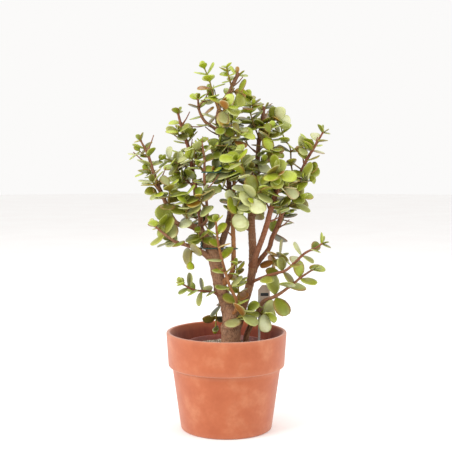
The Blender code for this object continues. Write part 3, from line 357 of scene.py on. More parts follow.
def clouded(name, size, detail, stops, grain=None, **sockets):
    """A material whose colour drifts in clouds size mm wide. The grain is its size and depth in mm."""
    shade, tree, shader, place = finish(name, **sockets)
    clouds = add(tree, NOISE, {"Vector": place, "Scale": per_mm(size), "Detail": detail}).outputs["Fac"]
    coat = add(tree, RAMP, {"Fac": clouds}, stops)
    tree.links.new(coat.outputs["Color"], shader.inputs["Base Color"])
    if grain:
        width, depth = grain
        grains = add(tree, NOISE, {"Vector": place, "Scale": per_mm(width), "Detail": 2}).outputs["Fac"]
        relief = add(tree, BUMP, {"Height": grains, "Distance": depth * MM, "Strength": 0.5})
        tree.links.new(relief.outputs["Normal"], shader.inputs["Normal"])
    return shade


def nursery_plastic():
    """Injection-moulded polypropylene in brick red: satin, with dust and dried lime splashes."""
    return clouded("moulded_brick_plastic", 7, 5, [(0.35, "#7b3d34"), (0.58, "#8c4a41"), (0.75, "#a37064")],
                   (1.2, 0.05), Roughness=0.5)


def compost():
    """Peat and bark fines: nearly black damp hollows between paler crumbs of 2 to 4 mm, and drier
    and paler to the left."""
    shade, tree, shader, place = finish("damp_compost", Roughness=0.95, Specular_IOR_Level=0.25)
    crumbs = add(tree, NOISE, {"Vector": place, "Scale": per_mm(2.6), "Detail": 6,
                               "Roughness": 0.7}).outputs["Fac"]
    dark = add(tree, RAMP, {"Fac": crumbs},
               [(0.35, "#201712"), (0.55, "#382a24"), (0.72, "#625143")]).outputs["Color"]
    pale = add(tree, RAMP, {"Fac": crumbs},
               [(0.30, "#53473d"), (0.52, "#827463"), (0.74, "#b3a793")]).outputs["Color"]
    dry = add(tree, NOISE, {"Vector": place, "Scale": per_mm(30), "Detail": 3}).outputs["Fac"]
    patches = add(tree, RANGE, {"Value": dry, "From Min": 0.32, "From Max": 0.5,
                                "To Min": 0.55}).outputs["Result"]
    across = add(tree, "ShaderNodeSeparateXYZ", {"Vector": place}).outputs["X"]
    side = add(tree, RANGE, {"Value": across, "From Min": 35 * MM, "From Max": -15 * MM}).outputs["Result"]
    share = add(tree, MATH, {0: side, 1: patches}, operation="MULTIPLY").outputs[0]
    coat = add(tree, MIX, {0: share, 6: dark, 7: pale}, data_type="RGBA").outputs[2]
    tree.links.new(coat, shader.inputs["Base Color"])
    relief = add(tree, BUMP, {"Height": crumbs, "Distance": 1.6 * MM, "Strength": 0.9})
    tree.links.new(relief.outputs["Normal"], shader.inputs["Normal"])
    return shade


def mineral_grit():
    """Perlite, pumice and crushed granite, each grain its own shade: dry, rough and matt."""
    shade, tree, shader, place = finish("perlite_and_pumice", Roughness=0.9)
    grain = add(tree, ATTRIBUTE, attribute_name="grain").outputs["Color"]
    pits = add(tree, NOISE, {"Vector": place, "Scale": per_mm(0.7), "Detail": 3}).outputs["Fac"]
    dirt = add(tree, RANGE, {"Value": pits, "From Min": 0.3, "From Max": 0.7,
                             "To Max": 0.35}).outputs["Result"]
    coat = add(tree, MIX, {0: dirt, 6: grain, 7: srgb("#6c6257")}, data_type="RGBA").outputs[2]
    tree.links.new(coat, shader.inputs["Base Color"])
    relief = add(tree, BUMP, {"Height": pits, "Distance": 0.15 * MM, "Strength": 0.8})
    tree.links.new(relief.outputs["Normal"], shader.inputs["Normal"])
    return shade


def label_card():
    """Printed PVC card: satin, warm beige, sun-faded in clouds 26 mm wide."""
    return clouded("printed_label_card", 26, 2, [(0.3, "#b29a89"), (0.7, "#c3afa0")], (1.5, 0.02),
                   Roughness=0.42)


def label_ink():
    """Screen-printed black ink, slightly rubbed."""
    return clouded("black_print", 2, 3, [(0.4, "#191c20"), (0.75, "#33363a")], Roughness=0.5)


def stake_plastic():
    """Clear polystyrene stake, scuffed by grit until it looks milky."""
    return clouded("scuffed_clear_plastic", 3, 3, [(0.35, "#b5b0aa"), (0.7, "#cbc8c3")], Roughness=0.35)


def coated_wire():
    """Soft steel tie wire in a dark green plastic coat: satin, with scuffed paler patches."""
    return clouded("green_plastic_coat", 4, 3, [(0.4, "#0e443e"), (0.62, "#19574f"), (0.8, "#366d65")],
                   Roughness=0.38)


def bark():
    """Succulent bark: smooth thin skin on young wood, greyer with fine cracks and rings on old wood.
    The tint attribute holds each stem's own colour, with painted shade in the folds of old wood and a
    painted light line on proud folds; its alpha is how old and cracked the wood is."""
    shade, tree, shader, place = finish("jade_bark", Roughness=0.66, Specular_IOR_Level=0.3)
    tint = add(tree, ATTRIBUTE, attribute_name="tint")
    old = tint.outputs["Alpha"]
    upright = add(tree, MAPPING, {"Vector": place, "Scale": (1, 1, 0.45)}).outputs["Vector"]
    patches = add(tree, NOISE, {"Vector": upright, "Scale": per_mm(9), "Detail": 5,
                                "Roughness": 0.62}).outputs["Fac"]
    drawn_up = add(tree, MAPPING, {"Vector": place, "Scale": (1, 1, 0.3)}).outputs["Vector"]
    cracks = add(tree, NOISE, {"Vector": drawn_up, "Scale": per_mm(1.5), "Detail": 5,
                               "Roughness": 0.7}).outputs["Fac"]
    level = add(tree, MAPPING, {"Vector": place, "Scale": (0.18, 0.18, 1.0)}).outputs["Vector"]
    rings = add(tree, NOISE, {"Vector": level, "Scale": per_mm(3.2), "Detail": 3}).outputs["Fac"]
    scurf = add(tree, RANGE, {"Value": patches, "From Min": 0.38, "From Max": 0.70,
                              "To Max": 0.55}).outputs["Result"]
    skin = add(tree, MIX, {0: scurf, 6: tint.outputs["Color"], 7: srgb("#aa8463")},
               data_type="RGBA").outputs[2]
    split = add(tree, RANGE, {"Value": cracks, "From Min": 0.53, "From Max": 0.36,
                              "To Max": 0.9}).outputs["Result"]
    skin = add(tree, MIX, {0: split, 6: skin, 7: srgb("#2c1b12")}, data_type="RGBA").outputs[2]
    banded = add(tree, RANGE, {"Value": rings, "From Min": 0.56, "From Max": 0.68,
                               "To Max": 0.35}).outputs["Result"]
    skin = add(tree, MIX, {0: banded, 6: skin, 7: srgb("#b8967c")}, data_type="RGBA").outputs[2]
    dusk = add(tree, RANGE, {"Value": patches, "From Min": 0.4, "From Max": 0.7,
                             "To Max": 0.3}).outputs["Result"]
    young = add(tree, MIX, {0: dusk, 6: tint.outputs["Color"], 7: srgb("#7a5a4b")},
                data_type="RGBA").outputs[2]
    coat = add(tree, MIX, {0: old, 6: young, 7: skin}, data_type="RGBA").outputs[2]
    tree.links.new(coat, shader.inputs["Base Color"])
    ridges = add(tree, MATH, {0: rings, 1: 0.8}, operation="MULTIPLY").outputs[0]
    height = add(tree, MATH, {0: cracks, 1: ridges}, operation="ADD").outputs[0]
    depth = add(tree, RANGE, {"Value": old, "To Min": 0.15}).outputs["Result"]
    height = add(tree, MATH, {0: height, 1: depth}, operation="MULTIPLY").outputs[0]
    relief = add(tree, BUMP, {"Height": height, "Distance": 1.0 * MM, "Strength": 0.85})
    tree.links.new(relief.outputs["Normal"], shader.inputs["Normal"])
    return shade


def jade_leaf():
    """Fleshy waxy leaf: satin skin with a soft bloom, faint cell mottling of 1.6 mm, and a thin
    margin in its own colour. blade is the leaf's colour, its alpha how near the rim; margin is
    the rim's colour."""
    shade, tree, shader, place = finish("waxy_jade_leaf", Roughness=0.40, Specular_IOR_Level=0.45,
                                        Coat_Weight=0.12, Coat_Roughness=0.3)
    blade = add(tree, ATTRIBUTE, attribute_name="blade")
    margin = add(tree, ATTRIBUTE, attribute_name="margin").outputs["Color"]
    cells = add(tree, NOISE, {"Vector": place, "Scale": per_mm(1.6), "Detail": 3}).outputs["Fac"]
    clouds = add(tree, NOISE, {"Vector": place, "Scale": per_mm(11), "Detail": 3}).outputs["Fac"]
    aged = add(tree, MIX, {0: 1.0, 6: blade.outputs["Color"], 7: srgb("#c9b67a")}, data_type="RGBA",
               blend_type="MULTIPLY").outputs[2]
    cloudy = add(tree, RANGE, {"Value": clouds, "From Min": 0.36, "From Max": 0.66,
                               "To Max": 0.4}).outputs["Result"]
    green = add(tree, MIX, {0: cloudy, 6: blade.outputs["Color"], 7: aged}, data_type="RGBA").outputs[2]
    bloom = add(tree, RANGE, {"Value": cells, "From Min": 0.5, "From Max": 0.8,
                              "To Max": 0.14}).outputs["Result"]
    green = add(tree, MIX, {0: bloom, 6: green, 7: srgb("#cdd78e")}, data_type="RGBA").outputs[2]
    edge = add(tree, MATH, {0: blade.outputs["Alpha"], 1: 4.0}, operation="POWER").outputs[0]
    edge = add(tree, MATH, {0: edge, 1: 0.8}, operation="MULTIPLY").outputs[0]
    coat = add(tree, MIX, {0: edge, 6: green, 7: margin}, data_type="RGBA").outputs[2]
    tree.links.new(coat, shader.inputs["Base Color"])
    height = add(tree, MATH, {0: cells, 1: clouds}, operation="ADD").outputs[0]
    relief = add(tree, BUMP, {"Height": height, "Distance": 0.25 * MM, "Strength": 0.35})
    tree.links.new(relief.outputs["Normal"], shader.inputs["Normal"])
    return shade


# ---------------------------------------------------------------- meshes
def write_mesh(name, bm, shades, sharp=45):
    """Write a bmesh drawn in millimetres as a smooth-shaded piece in metres."""
    bmesh.ops.recalc_face_normals(bm, faces=bm.faces)
    bmesh.ops.scale(bm, vec=(MM, MM, MM), verts=bm.verts)
    mesh = bpy.data.meshes.new(name)
    bm.to_mesh(mesh)
    bm.free()
    mesh.shade_smooth()
    mesh.set_sharp_from_angle(angle=math.radians(sharp))
    for shade in shades:
        mesh.materials.append(shade)
    piece = bpy.data.objects.new(name, mesh)
    bpy.context.scene.collection.objects.link(piece)
    return piece


def stand_for(piece, slot, *nodes):
    """The piece rides with the plant and replaces these frame solids. The slot is not used."""
    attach(piece, "root")
    if nodes:
        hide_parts(*nodes)


def arc(center, radius, start, stop, count):
    """Profile points (radius, height) on an arc, angles in degrees."""
    points = []
    for k in range(count + 1):
        angle = math.radians(start + (stop - start) * k / count)
        points.append((center[0] + radius * math.cos(angle), center[1] + radius * math.sin(angle)))
    return points


def turned(profile, sides):
    """A closed body of revolution about Z from a profile that starts and ends on the axis."""
    bm = bmesh.new()
    row = [bm.verts.new((r, 0, z)) for r, z in profile]
    edges = [bm.edges.new(pair) for pair in zip(row, row[1:])]
    bmesh.ops.spin(bm, geom=row + edges, cent=(0, 0, 0), axis=(0, 0, 1), angle=math.tau,
                   steps=sides, use_merge=True)
    bmesh.ops.remove_doubles(bm, verts=bm.verts, dist=0.001)
    return bm


def run(start, stop, count):
    """Evenly spaced points between two profile points, the first left out."""
    return [(start[0] + (stop[0] - start[0]) * k / count, start[1] + (stop[1] - start[1]) * k / count)
            for k in range(1, count + 1)]


def drill(piece, drains, top):
    """Cut a ring of round drain holes through a pot's floor."""
    count, radius, circle = drains
    bm = bmesh.new()
    for k in range(count):
        angle = math.tau * (k + 0.5) / count
        place = Matrix.Translation((circle * math.cos(angle), circle * math.sin(angle), top / 2))
        bmesh.ops.create_cone(bm, cap_ends=True, segments=32, radius1=radius, radius2=radius,
                              depth=top + 10, matrix=place)
    cutter = write_mesh(piece.name + "_drains", bm, [])
    boolean = piece.modifiers.new("drains", "BOOLEAN")
    boolean.operation = "DIFFERENCE"
    boolean.solver = "EXACT"
    boolean.object = cutter
    bpy.context.view_layer.update()
    cut = bpy.data.meshes.new_from_object(piece.evaluated_get(bpy.context.evaluated_depsgraph_get()))
    piece.modifiers.clear()
    piece.data = cut
    bpy.data.objects.remove(cutter)


def mark(bm, name, value_of):
    """Store a value from 0 to 1 on each vertex, from a rule on its place."""
    layer = bm.verts.layers.float.new(name)
    for vert in bm.verts:
        vert[layer] = value_of(vert.co)


# ---------------------------------------------------------------- pots and soil
def bore_radius(z):
    """Inner radius of the terracotta pot at height z."""
    top, bottom = POT_RIM - POT_WALL, POT_FOOT - POT_WALL
    return bottom + (top - bottom) * (z - POT_FLOOR) / (POT_HEIGHT - POT_FLOOR)


def terracotta_pot(shade):
    """Thrown planter with a deep rim band: rounded lip and band edge, and a wall that wavers by
    a few tenths of a millimetre, as a turned pot's does."""
    band_z = POT_HEIGHT - BAND_HEIGHT
    lip = LIP_ROUNDING
    profile = [(0, 0)] + run((0, 0), (POT_FOOT - FOOT_ROUNDING, 0), 5)
    profile += arc((POT_FOOT - FOOT_ROUNDING, FOOT_ROUNDING), FOOT_ROUNDING, -90, 0, 6)[1:]
    profile += run(profile[-1], (POT_SHOULDER, band_z - 1.5), 14)
    profile += [(POT_SHOULDER + 0.4, band_z - 0.4), (POT_SHOULDER + 1.5, band_z)]
    profile += arc((BAND_FOOT - lip, band_z + lip), lip, -90, 0, 7)
    profile += run(profile[-1], (POT_RIM, POT_HEIGHT - lip), 8)
    profile += arc((POT_RIM - lip, POT_HEIGHT - lip), lip, 0, 90, 7)[1:]
    profile += arc((POT_RIM - POT_WALL + lip, POT_HEIGHT - lip), lip, 90, 180, 7)
    floor_corner = (bore_radius(POT_FLOOR + 4), POT_FLOOR + 4)
    profile += run(profile[-1], floor_corner, 14)
    profile += [(floor_corner[0] - 1.3, POT_FLOOR + 1.2), (floor_corner[0] - 4, POT_FLOOR)]
    profile += run(profile[-1], (0, POT_FLOOR), 5)
    bm = turned(profile, 160)
    for vert in bm.verts:
        flat = Vector((vert.co.x, vert.co.y, 0))
        if flat.length > POT_FOOT * 0.6 and vert.co.z > 1:
            waver = noise.noise(Vector((vert.co.x, vert.co.y, vert.co.z * 0.6)) / 60)
            vert.co += flat.normalized() * waver * 0.45
    edges = (POT_HEIGHT, band_z)

    def wear(place):
        reach = math.hypot(place.x, place.y)
        near = [max(0, 1 - abs(place.z - z) / 4.5) for z in edges]
        foot = max(0, 1 - place.z / 9) * 0.6
        return max(near + [foot]) if reach > POT_FOOT - 4 and reach > bore_radius(place.z) + 1.5 else 0.0

    # Painted shade: how much of the darker inner tone each vertex takes, none at the rim and full from 5 mm
    # below it.
    def inside(place):
        reach = math.hypot(place.x, place.y)
        if place.z < POT_FLOOR - 0.5:
            return 0.0
        depth = min(max((POT_HEIGHT - 2.5 - place.z) / 5, 0), 1)
        return depth if reach < bore_radius(place.z) + 0.8 else 0.0

    mark(bm, "wear", wear)
    mark(bm, "inside", inside)
    pot = write_mesh("planter", bm, [shade], 60)
    drill(pot, DRAINS, POT_FLOOR)
    stand_for(pot, "terracotta", "terracotta_pot")


def nursery_pot(shade):
    """Thin tapered pot with a thick lip."""
    low, top = liner_low.z, LINER_RIM - LINER_RIM_WIDTH
    under = LINER_TOP - LINER_RIM_HEIGHT
    floor = low + LINER_WALL
    wall_under = LINER_FOOT + (top - LINER_FOOT) * (under - low) / (LINER_TOP - low)
    profile = [(0, low), (LINER_FOOT - 1, low), (LINER_FOOT, low + 1)]
    profile += run(profile[-1], (wall_under, under), 8)
    profile += [(LINER_RIM - 0.5, under + 0.3), (LINER_RIM, under + 0.9)]
    profile += [(LINER_RIM, LINER_TOP - 0.8), (LINER_RIM - 0.8, LINER_TOP)]
    profile += [(top - LINER_WALL + 0.4, LINER_TOP), (top - LINER_WALL, LINER_TOP - 0.5)]
    profile += run(profile[-1], (LINER_FOOT - LINER_WALL, floor + 0.5), 8)
    profile += [(LINER_FOOT - LINER_WALL - 0.5, floor), (0, floor)]
    bm = turned(profile, 120)
    liner = write_mesh("grower_pot", bm, [shade], 50)
    drill(liner, LINER_DRAINS, floor)
    stand_for(liner, "nursery_plastic", "nursery_pot")


def soil_radius(z):
    """Radius of the soil at a height, a hair inside the nursery pot's wall."""
    low = liner_low.z
    share = (z - low) / (LINER_TOP - low)
    return LINER_FOOT + (LINER_RIM - LINER_RIM_WIDTH - LINER_FOOT) * share - LINER_WALL - SEAT_GAP


def soil_height(x, y):
    """The lumpy top of the soil, which rises a little to the trunk and sinks at the wall."""
    reach = math.hypot(x, y) / soil_radius(SOIL_Z)
    lumps = noise.fractal(Vector((x, y, 3.0)) / 9, 0.8, 2.1, 4)
    return SOIL_Z + 2.0 + 1.6 * SOIL_CROWN * (1 - reach) + lumps * 1.5 * (1 - reach ** 6) - 1.5 * reach ** 4


def potting_soil(shade, grit_shade):
    """The bed of compost, and loose grit on it, more of it to the left."""
    floor = liner_low.z + LINER_WALL + SEAT_GAP
    edge = soil_radius(SOIL_Z)
    profile = [(0, floor)] + run((0, floor), (soil_radius(floor), floor), 3)
    profile += run(profile[-1], (edge, SOIL_Z - 1), 6)
    profile += run(profile[-1], (0, SOIL_Z), 34)
    bm = turned(profile, 110)
    for vert in bm.verts:
        if vert.co.z > SOIL_Z - 1.01:
            vert.co.z = soil_height(vert.co.x, vert.co.y)
    soil = write_mesh("compost_bed", bm, [shade], 180)
    stand_for(soil, "soil", "potting_soil")

    chance = random.Random("grit")
    shades = [srgb(code) for code in ("#d8cfbf", "#c4b6a2", "#a99a86", "#e4ddd0", "#8a7b6b", "#6c5a4c",
                                      "#b8a791")]
    bm = bmesh.new()
    grain_color = bm.verts.layers.float_color.new("grain")
    for _ in range(GRIT_COUNT):
        angle, reach = chance.uniform(0, math.tau), edge * 0.98 * math.sqrt(chance.random())
        x, y = reach * math.cos(angle), reach * math.sin(angle)
        if chance.random() > 0.93 - 0.72 * min(max((x - 5) / 35, 0), 1):
            continue
        size = chance.uniform(0.55, 1.25) if chance.random() < 0.86 else chance.uniform(1.3, 2.1)
        place = Matrix.Translation((x, y, soil_height(x, y) + size * 0.25))
        turn = Matrix.Rotation(chance.uniform(0, math.tau), 4, Vector((chance.random(), chance.random(), 1)))
        squash = Matrix.Diagonal((1, chance.uniform(0.6, 1), chance.uniform(0.5, 0.9), 1))
        grown = bmesh.ops.create_icosphere(bm, subdivisions=1, radius=size, matrix=place @ turn @ squash)
        color = chance.choice(shades)
        for vert in grown["verts"]:
            dent = Vector((chance.uniform(-1, 1), chance.uniform(-1, 1), chance.uniform(-1, 1)))
            vert.co += dent * size * 0.14
            vert[grain_color] = color
    grit = write_mesh("mineral_grit", bm, [grit_shade], 180)
    stand_for(grit, "soil", "potting_soil")


# ---------------------------------------------------------------- the label and the ties
def plant_label(card_shade, ink_shade, stake_shade):
    """A card with cut top corners, a plain printed bar and a pointed stake behind it."""
    near, far = label_low.y, label_high.y
    left, right, top = label_low.x, label_high.x, label_high.z
    foot = SOIL_Z + LABEL_LIFT
    chamfer = 7.0
    outline = [(left, foot), (right, foot), (right, top - chamfer * 1.3), (right - chamfer, top),
               (left + chamfer, top), (left, top - chamfer * 1.3)]
    bm = bmesh.new()
    face = bm.faces.new([bm.verts.new((x, near, z)) for x, z in outline])
    grown = bmesh.ops.extrude_face_region(bm, geom=[face])["geom"]
    bmesh.ops.translate(bm, vec=(0, (far - near) * 0.6, 0),
                        verts=[part for part in grown if isinstance(part, bmesh.types.BMVert)])
    bmesh.ops.bevel(bm, geom=list(bm.edges), offset=0.18, segments=2, profile=0.5, affect="EDGES",
                    material=-1)
    stand_for(write_mesh("label_card", bm, [card_shade]), "label_plastic", "plant_label")

    bm = bmesh.new()
    bar = Matrix.Translation(((left + right) / 2 + 1, near, top - 17)) @ Matrix.Diagonal((14, 0.3, 5.4, 1))
    bmesh.ops.create_cube(bm, size=1.0, matrix=bar)
    bmesh.ops.bevel(bm, geom=list(bm.edges), offset=0.08, segments=2, profile=0.5, affect="EDGES",
                    material=-1)
    stand_for(write_mesh("label_bar", bm, [ink_shade]), "label_plastic")

    middle, half = left + STAKE_WIDTH / 2, STAKE_WIDTH / 2
    low = label_low.z
    outline = [(middle - half, low + 6), (middle, low), (middle + half, low + 6), (middle + half, top - 22),
               (middle, top - 17), (middle - half, top - 22)]
    bm = bmesh.new()
    face = bm.faces.new([bm.verts.new((x, near - 0.5, z)) for x, z in outline])
    grown = bmesh.ops.extrude_face_region(bm, geom=[face])["geom"]
    bmesh.ops.translate(bm, vec=(0, 0.9, 0),
                        verts=[part for part in grown if isinstance(part, bmesh.types.BMVert)])
    bmesh.ops.bevel(bm, geom=list(bm.edges), offset=0.25, segments=2, profile=0.5, affect="EDGES",
                    material=-1)
    stand_for(write_mesh("label_stake", bm, [stake_shade]), "label_plastic")


def drawn_tube(bm, rings):
    """A closed tube: a round cap extruded from ring to ring of corners."""
    made = bmesh.ops.create_circle(bm, cap_ends=True, segments=len(rings[0]), radius=1.0)
    ring = made["verts"]
    for vert, corner in zip(ring, rings[0]):
        vert.co = corner
    all_rings = [ring]
    cap = next(face for face in bm.faces if ring[0] in face.verts and len(face.verts) == len(ring))
    for corners in rings[1:]:
        ring, cap = next_ring(bm, ring, cap, corners)
        all_rings.append(ring)
    return all_rings


def next_ring(bm, ring, cap, corners):
    """Extrude the cap to new corners. The first cap stays, and closes the tube's start."""
    started = any(len(edge.link_faces) > 1 for edge in cap.edges)
    grown = bmesh.ops.extrude_face_region(bm, geom=[cap])["geom"]
    fresh = {tuple(part.co): part for part in grown if isinstance(part, bmesh.types.BMVert)}
    new = [fresh[tuple(vert.co)] for vert in ring]
    new_cap = next(part for part in grown if isinstance(part, bmesh.types.BMFace))
    if started and cap.is_valid:
        bmesh.ops.delete(bm, geom=[cap], context="FACES_ONLY")
    for vert, corner in zip(new, corners):
        vert.co = corner
    return new, new_cap


def round_wire(name, line, shade, *nodes):
    """A round wire along a line of points, its curve smoothed between them."""
    line = smooth_path(line, 1.2)
    rings = []
    side = Vector((0, 0, 1))
    for k, point in enumerate(line):
        along = (line[min(k + 1, len(line) - 1)] - line[max(k - 1, 0)]).normalized()
        side = (side - along * side.dot(along)).normalized()
        up = along.cross(side)
        reach = WIRE_RADIUS * (0.55 if k in (0, len(line) - 1) else 1.0)
        rings.append([point + (side * math.cos(a) + up * math.sin(a)) * reach
                      for a in (math.tau * j / 10 for j in range(10))])
    bm = bmesh.new()
    drawn_tube(bm, rings)
    stand_for(write_mesh(name, bm, [shade]), "tie_wire", *nodes)


# ---------------------------------------------------------------- how the plant grows
def smooth_path(points, step):
    """A Catmull-Rom curve through the points, with a point about every step mm."""
    ends = [points[0] * 2 - points[1]] + points + [points[-1] * 2 - points[-2]]
    curve = []
    for a, b, c, d in zip(ends, ends[1:], ends[2:], ends[3:]):
        count = max(1, round((c - b).length / step))
        for i in range(count):
            t = i / count
            curve.append(0.5 * (2 * b + (c - a) * t + (2 * a - 5 * b + 4 * c - d) * t ** 2
                                + (3 * b - a - 3 * c + d) * t ** 3))
    curve.append(points[-1].copy())
    return curve


def tube_polygons(count, sides):
    """Outward faces of a capped tube of rings, as vertex numbers."""
    faces = [tuple(range(sides)), tuple(reversed(range((count - 1) * sides, count * sides)))]
    for k in range(count - 1):
        for j in range(sides):
            low, high = k * sides, (k + 1) * sides
            after = (j + 1) % sides
            faces.append((high + j, high + after, low + after, low + j))
    return faces


class Stem:
    """A stem's centre line, with its radius and a steady frame at each distance along it."""

    def __init__(self, name, points, girth, leaves, tone, sides, twigs=None):
        self.name = name
        self.leaves = leaves
        self.twigs = twigs
        self.tone = tone
        self.girth = girth
        self.sides = sides
        self.sprigs = []
        self.owner = name
        self.parent = None
        self.line = smooth_path(points, 4.0)
        self.reach = [0.0]
        for a, b in zip(self.line, self.line[1:]):
            self.reach.append(self.reach[-1] + (b - a).length)
        self.length = self.reach[-1]
        self.start = 0.0
        self.tree = self.surface()

    def nearest(self, point):
        return min(self.line, key=lambda here: (here - point).length).copy()

    def step_clear_of(self, parent):
        """Begin this stem where its square end just stands free of the stem that it grows from."""
        while not self.clear_of(parent):
            self.start += 0.2
            self.tree = self.surface()

    def surface(self, room=0.0):
        """The stem's own surface, without its leaves and with some room round it."""
        rings = [self.ring(place, room) for place in self.ring_places()]
        corners = [corner for ring in rings for corner in ring]
        return BVHTree.FromPolygons(corners, tube_polygons(len(rings), self.sides))

    def clear_of(self, parent):
        """Whether this stem's square end stands free of the stem that it grows from."""
        ring = self.ring(self.start)
        edges = [(a + b) / 2 for a, b in zip(ring, ring[1:] + ring[:1])]
        for point in ring + edges + [self.at(self.start)[0]]:
            place, normal, _, away = parent.tree.find_nearest(point)
            if away < SEAT_GAP or (point - place).dot(normal) < 0:
                return False
        return not self.tree.overlap(parent.tree)

    def at(self, distance):
        """Point and direction at a distance along the stem."""
        distance = min(max(distance, 0.0), self.length)
        k = 0
        while k < len(self.reach) - 2 and self.reach[k + 1] < distance:
            k += 1
        share = (distance - self.reach[k]) / (self.reach[k + 1] - self.reach[k])
        point = self.line[k].lerp(self.line[k + 1], share)
        before = self.line[max(k - 1, 0)]
        after = self.line[min(k + 2, len(self.line) - 1)]
        return point, (after - before).normalized()

    def radius(self, distance):
        place = min(max(distance / self.length, 0.0), 1.0) * (len(self.girth) - 1)
        k = min(int(place), len(self.girth) - 2)
        return self.girth[k] + (self.girth[k + 1] - self.girth[k]) * (place - k)

    def radial(self, distance, angle):
        """The direction straight out of the stem at an angle round it, in radians."""
        along = self.at(distance)[1]
        side = Vector((along.z, 0, -along.x)).normalized()
        return side * math.cos(angle) + side.cross(along) * math.sin(angle)

    def ring(self, distance, swell=0.0):
        """The corners of the stem's cross-section."""
        middle = self.at(distance)[0]
        reach = self.radius(distance) + swell
        return [middle + self.radial(distance, self.corner_angle(k + 0.5)) * reach
                for k in range(self.sides)]

    def corner_angle(self, k):
        """The angle round the stem of its corners, or half way between them of its faces."""
        return math.radians(self.leaves.turn if self.leaves else 0) + math.tau * k / self.sides

    @staticmethod
    def spaced(start, stop, step):
        count = max(1, round((stop - start) / step))
        return [start + (stop - start) * k / count for k in range(count + 1)]

    def pair_places(self):
        """Distance along the stem of each pair of leaves, closer together towards the tip."""
        if not self.leaves:
            return []
        first = max(self.length * self.leaves.start, self.start + 1.5 * NODE_HEIGHT)
        last = self.length - NODE_HEIGHT
        count = self.leaves.pairs
        return [first + (last - first) * (k / max(count - 1, 1)) ** 0.85 for k in range(count)]

    def twig_places(self):
        """Distance along the stem of each side twig, between the pairs of leaves."""
        if not self.twigs:
            return []
        start, stop, count = self.twigs
        places = []
        for k in range(count):
            place = self.length * (start + (stop - start) * k / max(count - 1, 1))
            while any(abs(place - pair) < 1.6 * NODE_HEIGHT for pair in self.pair_places() + places):
                place += NODE_HEIGHT / 2
            places.append(place)
        return places

    def ring_places(self):
        """Distance along the stem of each of its rings: two for a pair of leaves or a side twig,
        and plain ones between them."""
        nodes = self.pair_places() + self.twig_places()
        plain = [place for place in self.spaced(self.start, self.length, WOOD_STEP)
                 if all(abs(place - node) > NODE_HEIGHT * 0.9 for node in nodes)]
        edges = [node + half for node in nodes for half in (-NODE_HEIGHT / 2, NODE_HEIGHT / 2)]
        return sorted(plain + edges)

    def at_height(self, z):
        """Middle and radius of the stem at each place where it passes the height z."""
        return [(low.lerp(high, (z - low.z) / (high.z - low.z)), self.radius(self.reach[k]))
                for k, (low, high) in enumerate(zip(self.line, self.line[1:])) if low.z <= z < high.z]


class Leaf:
    """One leaf: a thick blade, wedge-shaped at its foot and widest past its middle."""

    def __init__(self, base, along, face, length):
        self.base = base
        self.along = along
        self.face = (face - along * face.dot(along)).normalized()
        self.side = along.cross(self.face)
        self.length = length

    def rings(self, room=0.0):
        """Cross-sections of four corners each, from the foot to the blade's end."""
        thick = LEAF_THICKNESS * min(1.0, 0.45 + 0.55 * self.length / LEAF_LENGTH)
        rings = []
        for place, width, depth in ((0.38, 0.90, 1.0), (0.80, 0.90, 0.8)):
            droop = self.face * (self.length * 0.05 * place)
            middle = self.base + self.along * (self.length * place) - droop
            wide = self.side * (self.length * LEAF_WIDTH * width + room) / 2
            deep = self.face * (thick * depth + room) / 2
            rings.append([middle + wide, middle + deep, middle - wide, middle - deep])
        return rings

    def tip(self, room=0.0):
        return self.base + self.along * (self.length + room / 2) - self.face * (self.length * 0.05)

    def hull(self, from_share, foot_reach):
        """The leaf with room round it, from a share of the way up its foot, to test what it meets."""
        rings = self.rings(LEAF_ROOM)
        middle = (rings[0][0] + rings[0][2]) / 2
        foot = [self.base.lerp(corner, from_share) + (corner - middle).normalized() * foot_reach
                for corner in rings[0]]
        rings = [foot] + rings
        corners = [corner for ring in rings for corner in ring] + [self.tip(LEAF_ROOM)]
        faces = tube_polygons(len(rings), 4)[:1] + tube_polygons(len(rings), 4)[2:]
        last = 4 * (len(rings) - 1)
        faces += [(last + j, last + (j + 1) % 4, last + 4) for j in range(4)]
        return BVHTree.FromPolygons(corners, faces)


STEMS = {}
SOLIDS = []        # what a leaf must not run into: pots, soil, wood, wires and label
PLACED = []        # middle, reach and hull of each leaf that has its place


def fits(leaf, whole, stem):
    """Whether a leaf's place is free of its stem, of every other solid and of every leaf before it."""
    if leaf.hull(0.2, NODE_HEIGHT * 0.6).overlap(stem.tree):
        return False
    if any(solid is not stem.tree and whole.overlap(solid) for solid in SOLIDS):
        return False
    middle = leaf.base + leaf.along * leaf.length / 2
    reach = leaf.length * LEAF_REACH
    return not any((middle - other).length < reach + far and whole.overlap(tree)
                   for other, far, tree in PLACED)


def place_leaf(stem, distance, angle, length, spread, sway):
    """Turn a leaf, and if need be shorten it, until it has a place of its own. Where there is
    none, as right under a tie, the leaf has fallen and its place on the stem is bare."""
    point, direction = stem.at(distance)
    out = stem.radial(distance, angle)
    base = point + out * stem.radius(distance) * math.cos(math.pi / stem.sides)
    foot_reach = 0.9 * math.hypot(NODE_HEIGHT / 2, stem.radius(distance) * math.sin(math.pi / stem.sides))
    for size in (1.0, 0.86, 0.72, 0.6, 0.48, 0.36, 0.26):
        for lean in (0, -14, 14, -28, 26):
            for swing in (0, 18, -18, 36, -36):
                away = stem.radial(distance, angle + math.radians(swing))
                tilt = math.radians(spread + lean)
                along = (direction * math.cos(tilt) + away * math.sin(tilt)).normalized()
                up = direction - along * direction.dot(along)
                light = (LIGHT - along * LIGHT.dot(along)).normalized()
                leaf = Leaf(base, along, up.normalized() * (1 - sway) + light * sway, length * size)
                whole = leaf.hull(0.0, foot_reach)
                if fits(leaf, whole, stem):
                    PLACED.append((base + along * leaf.length / 2, leaf.length * LEAF_REACH, whole))
                    return leaf
    return None


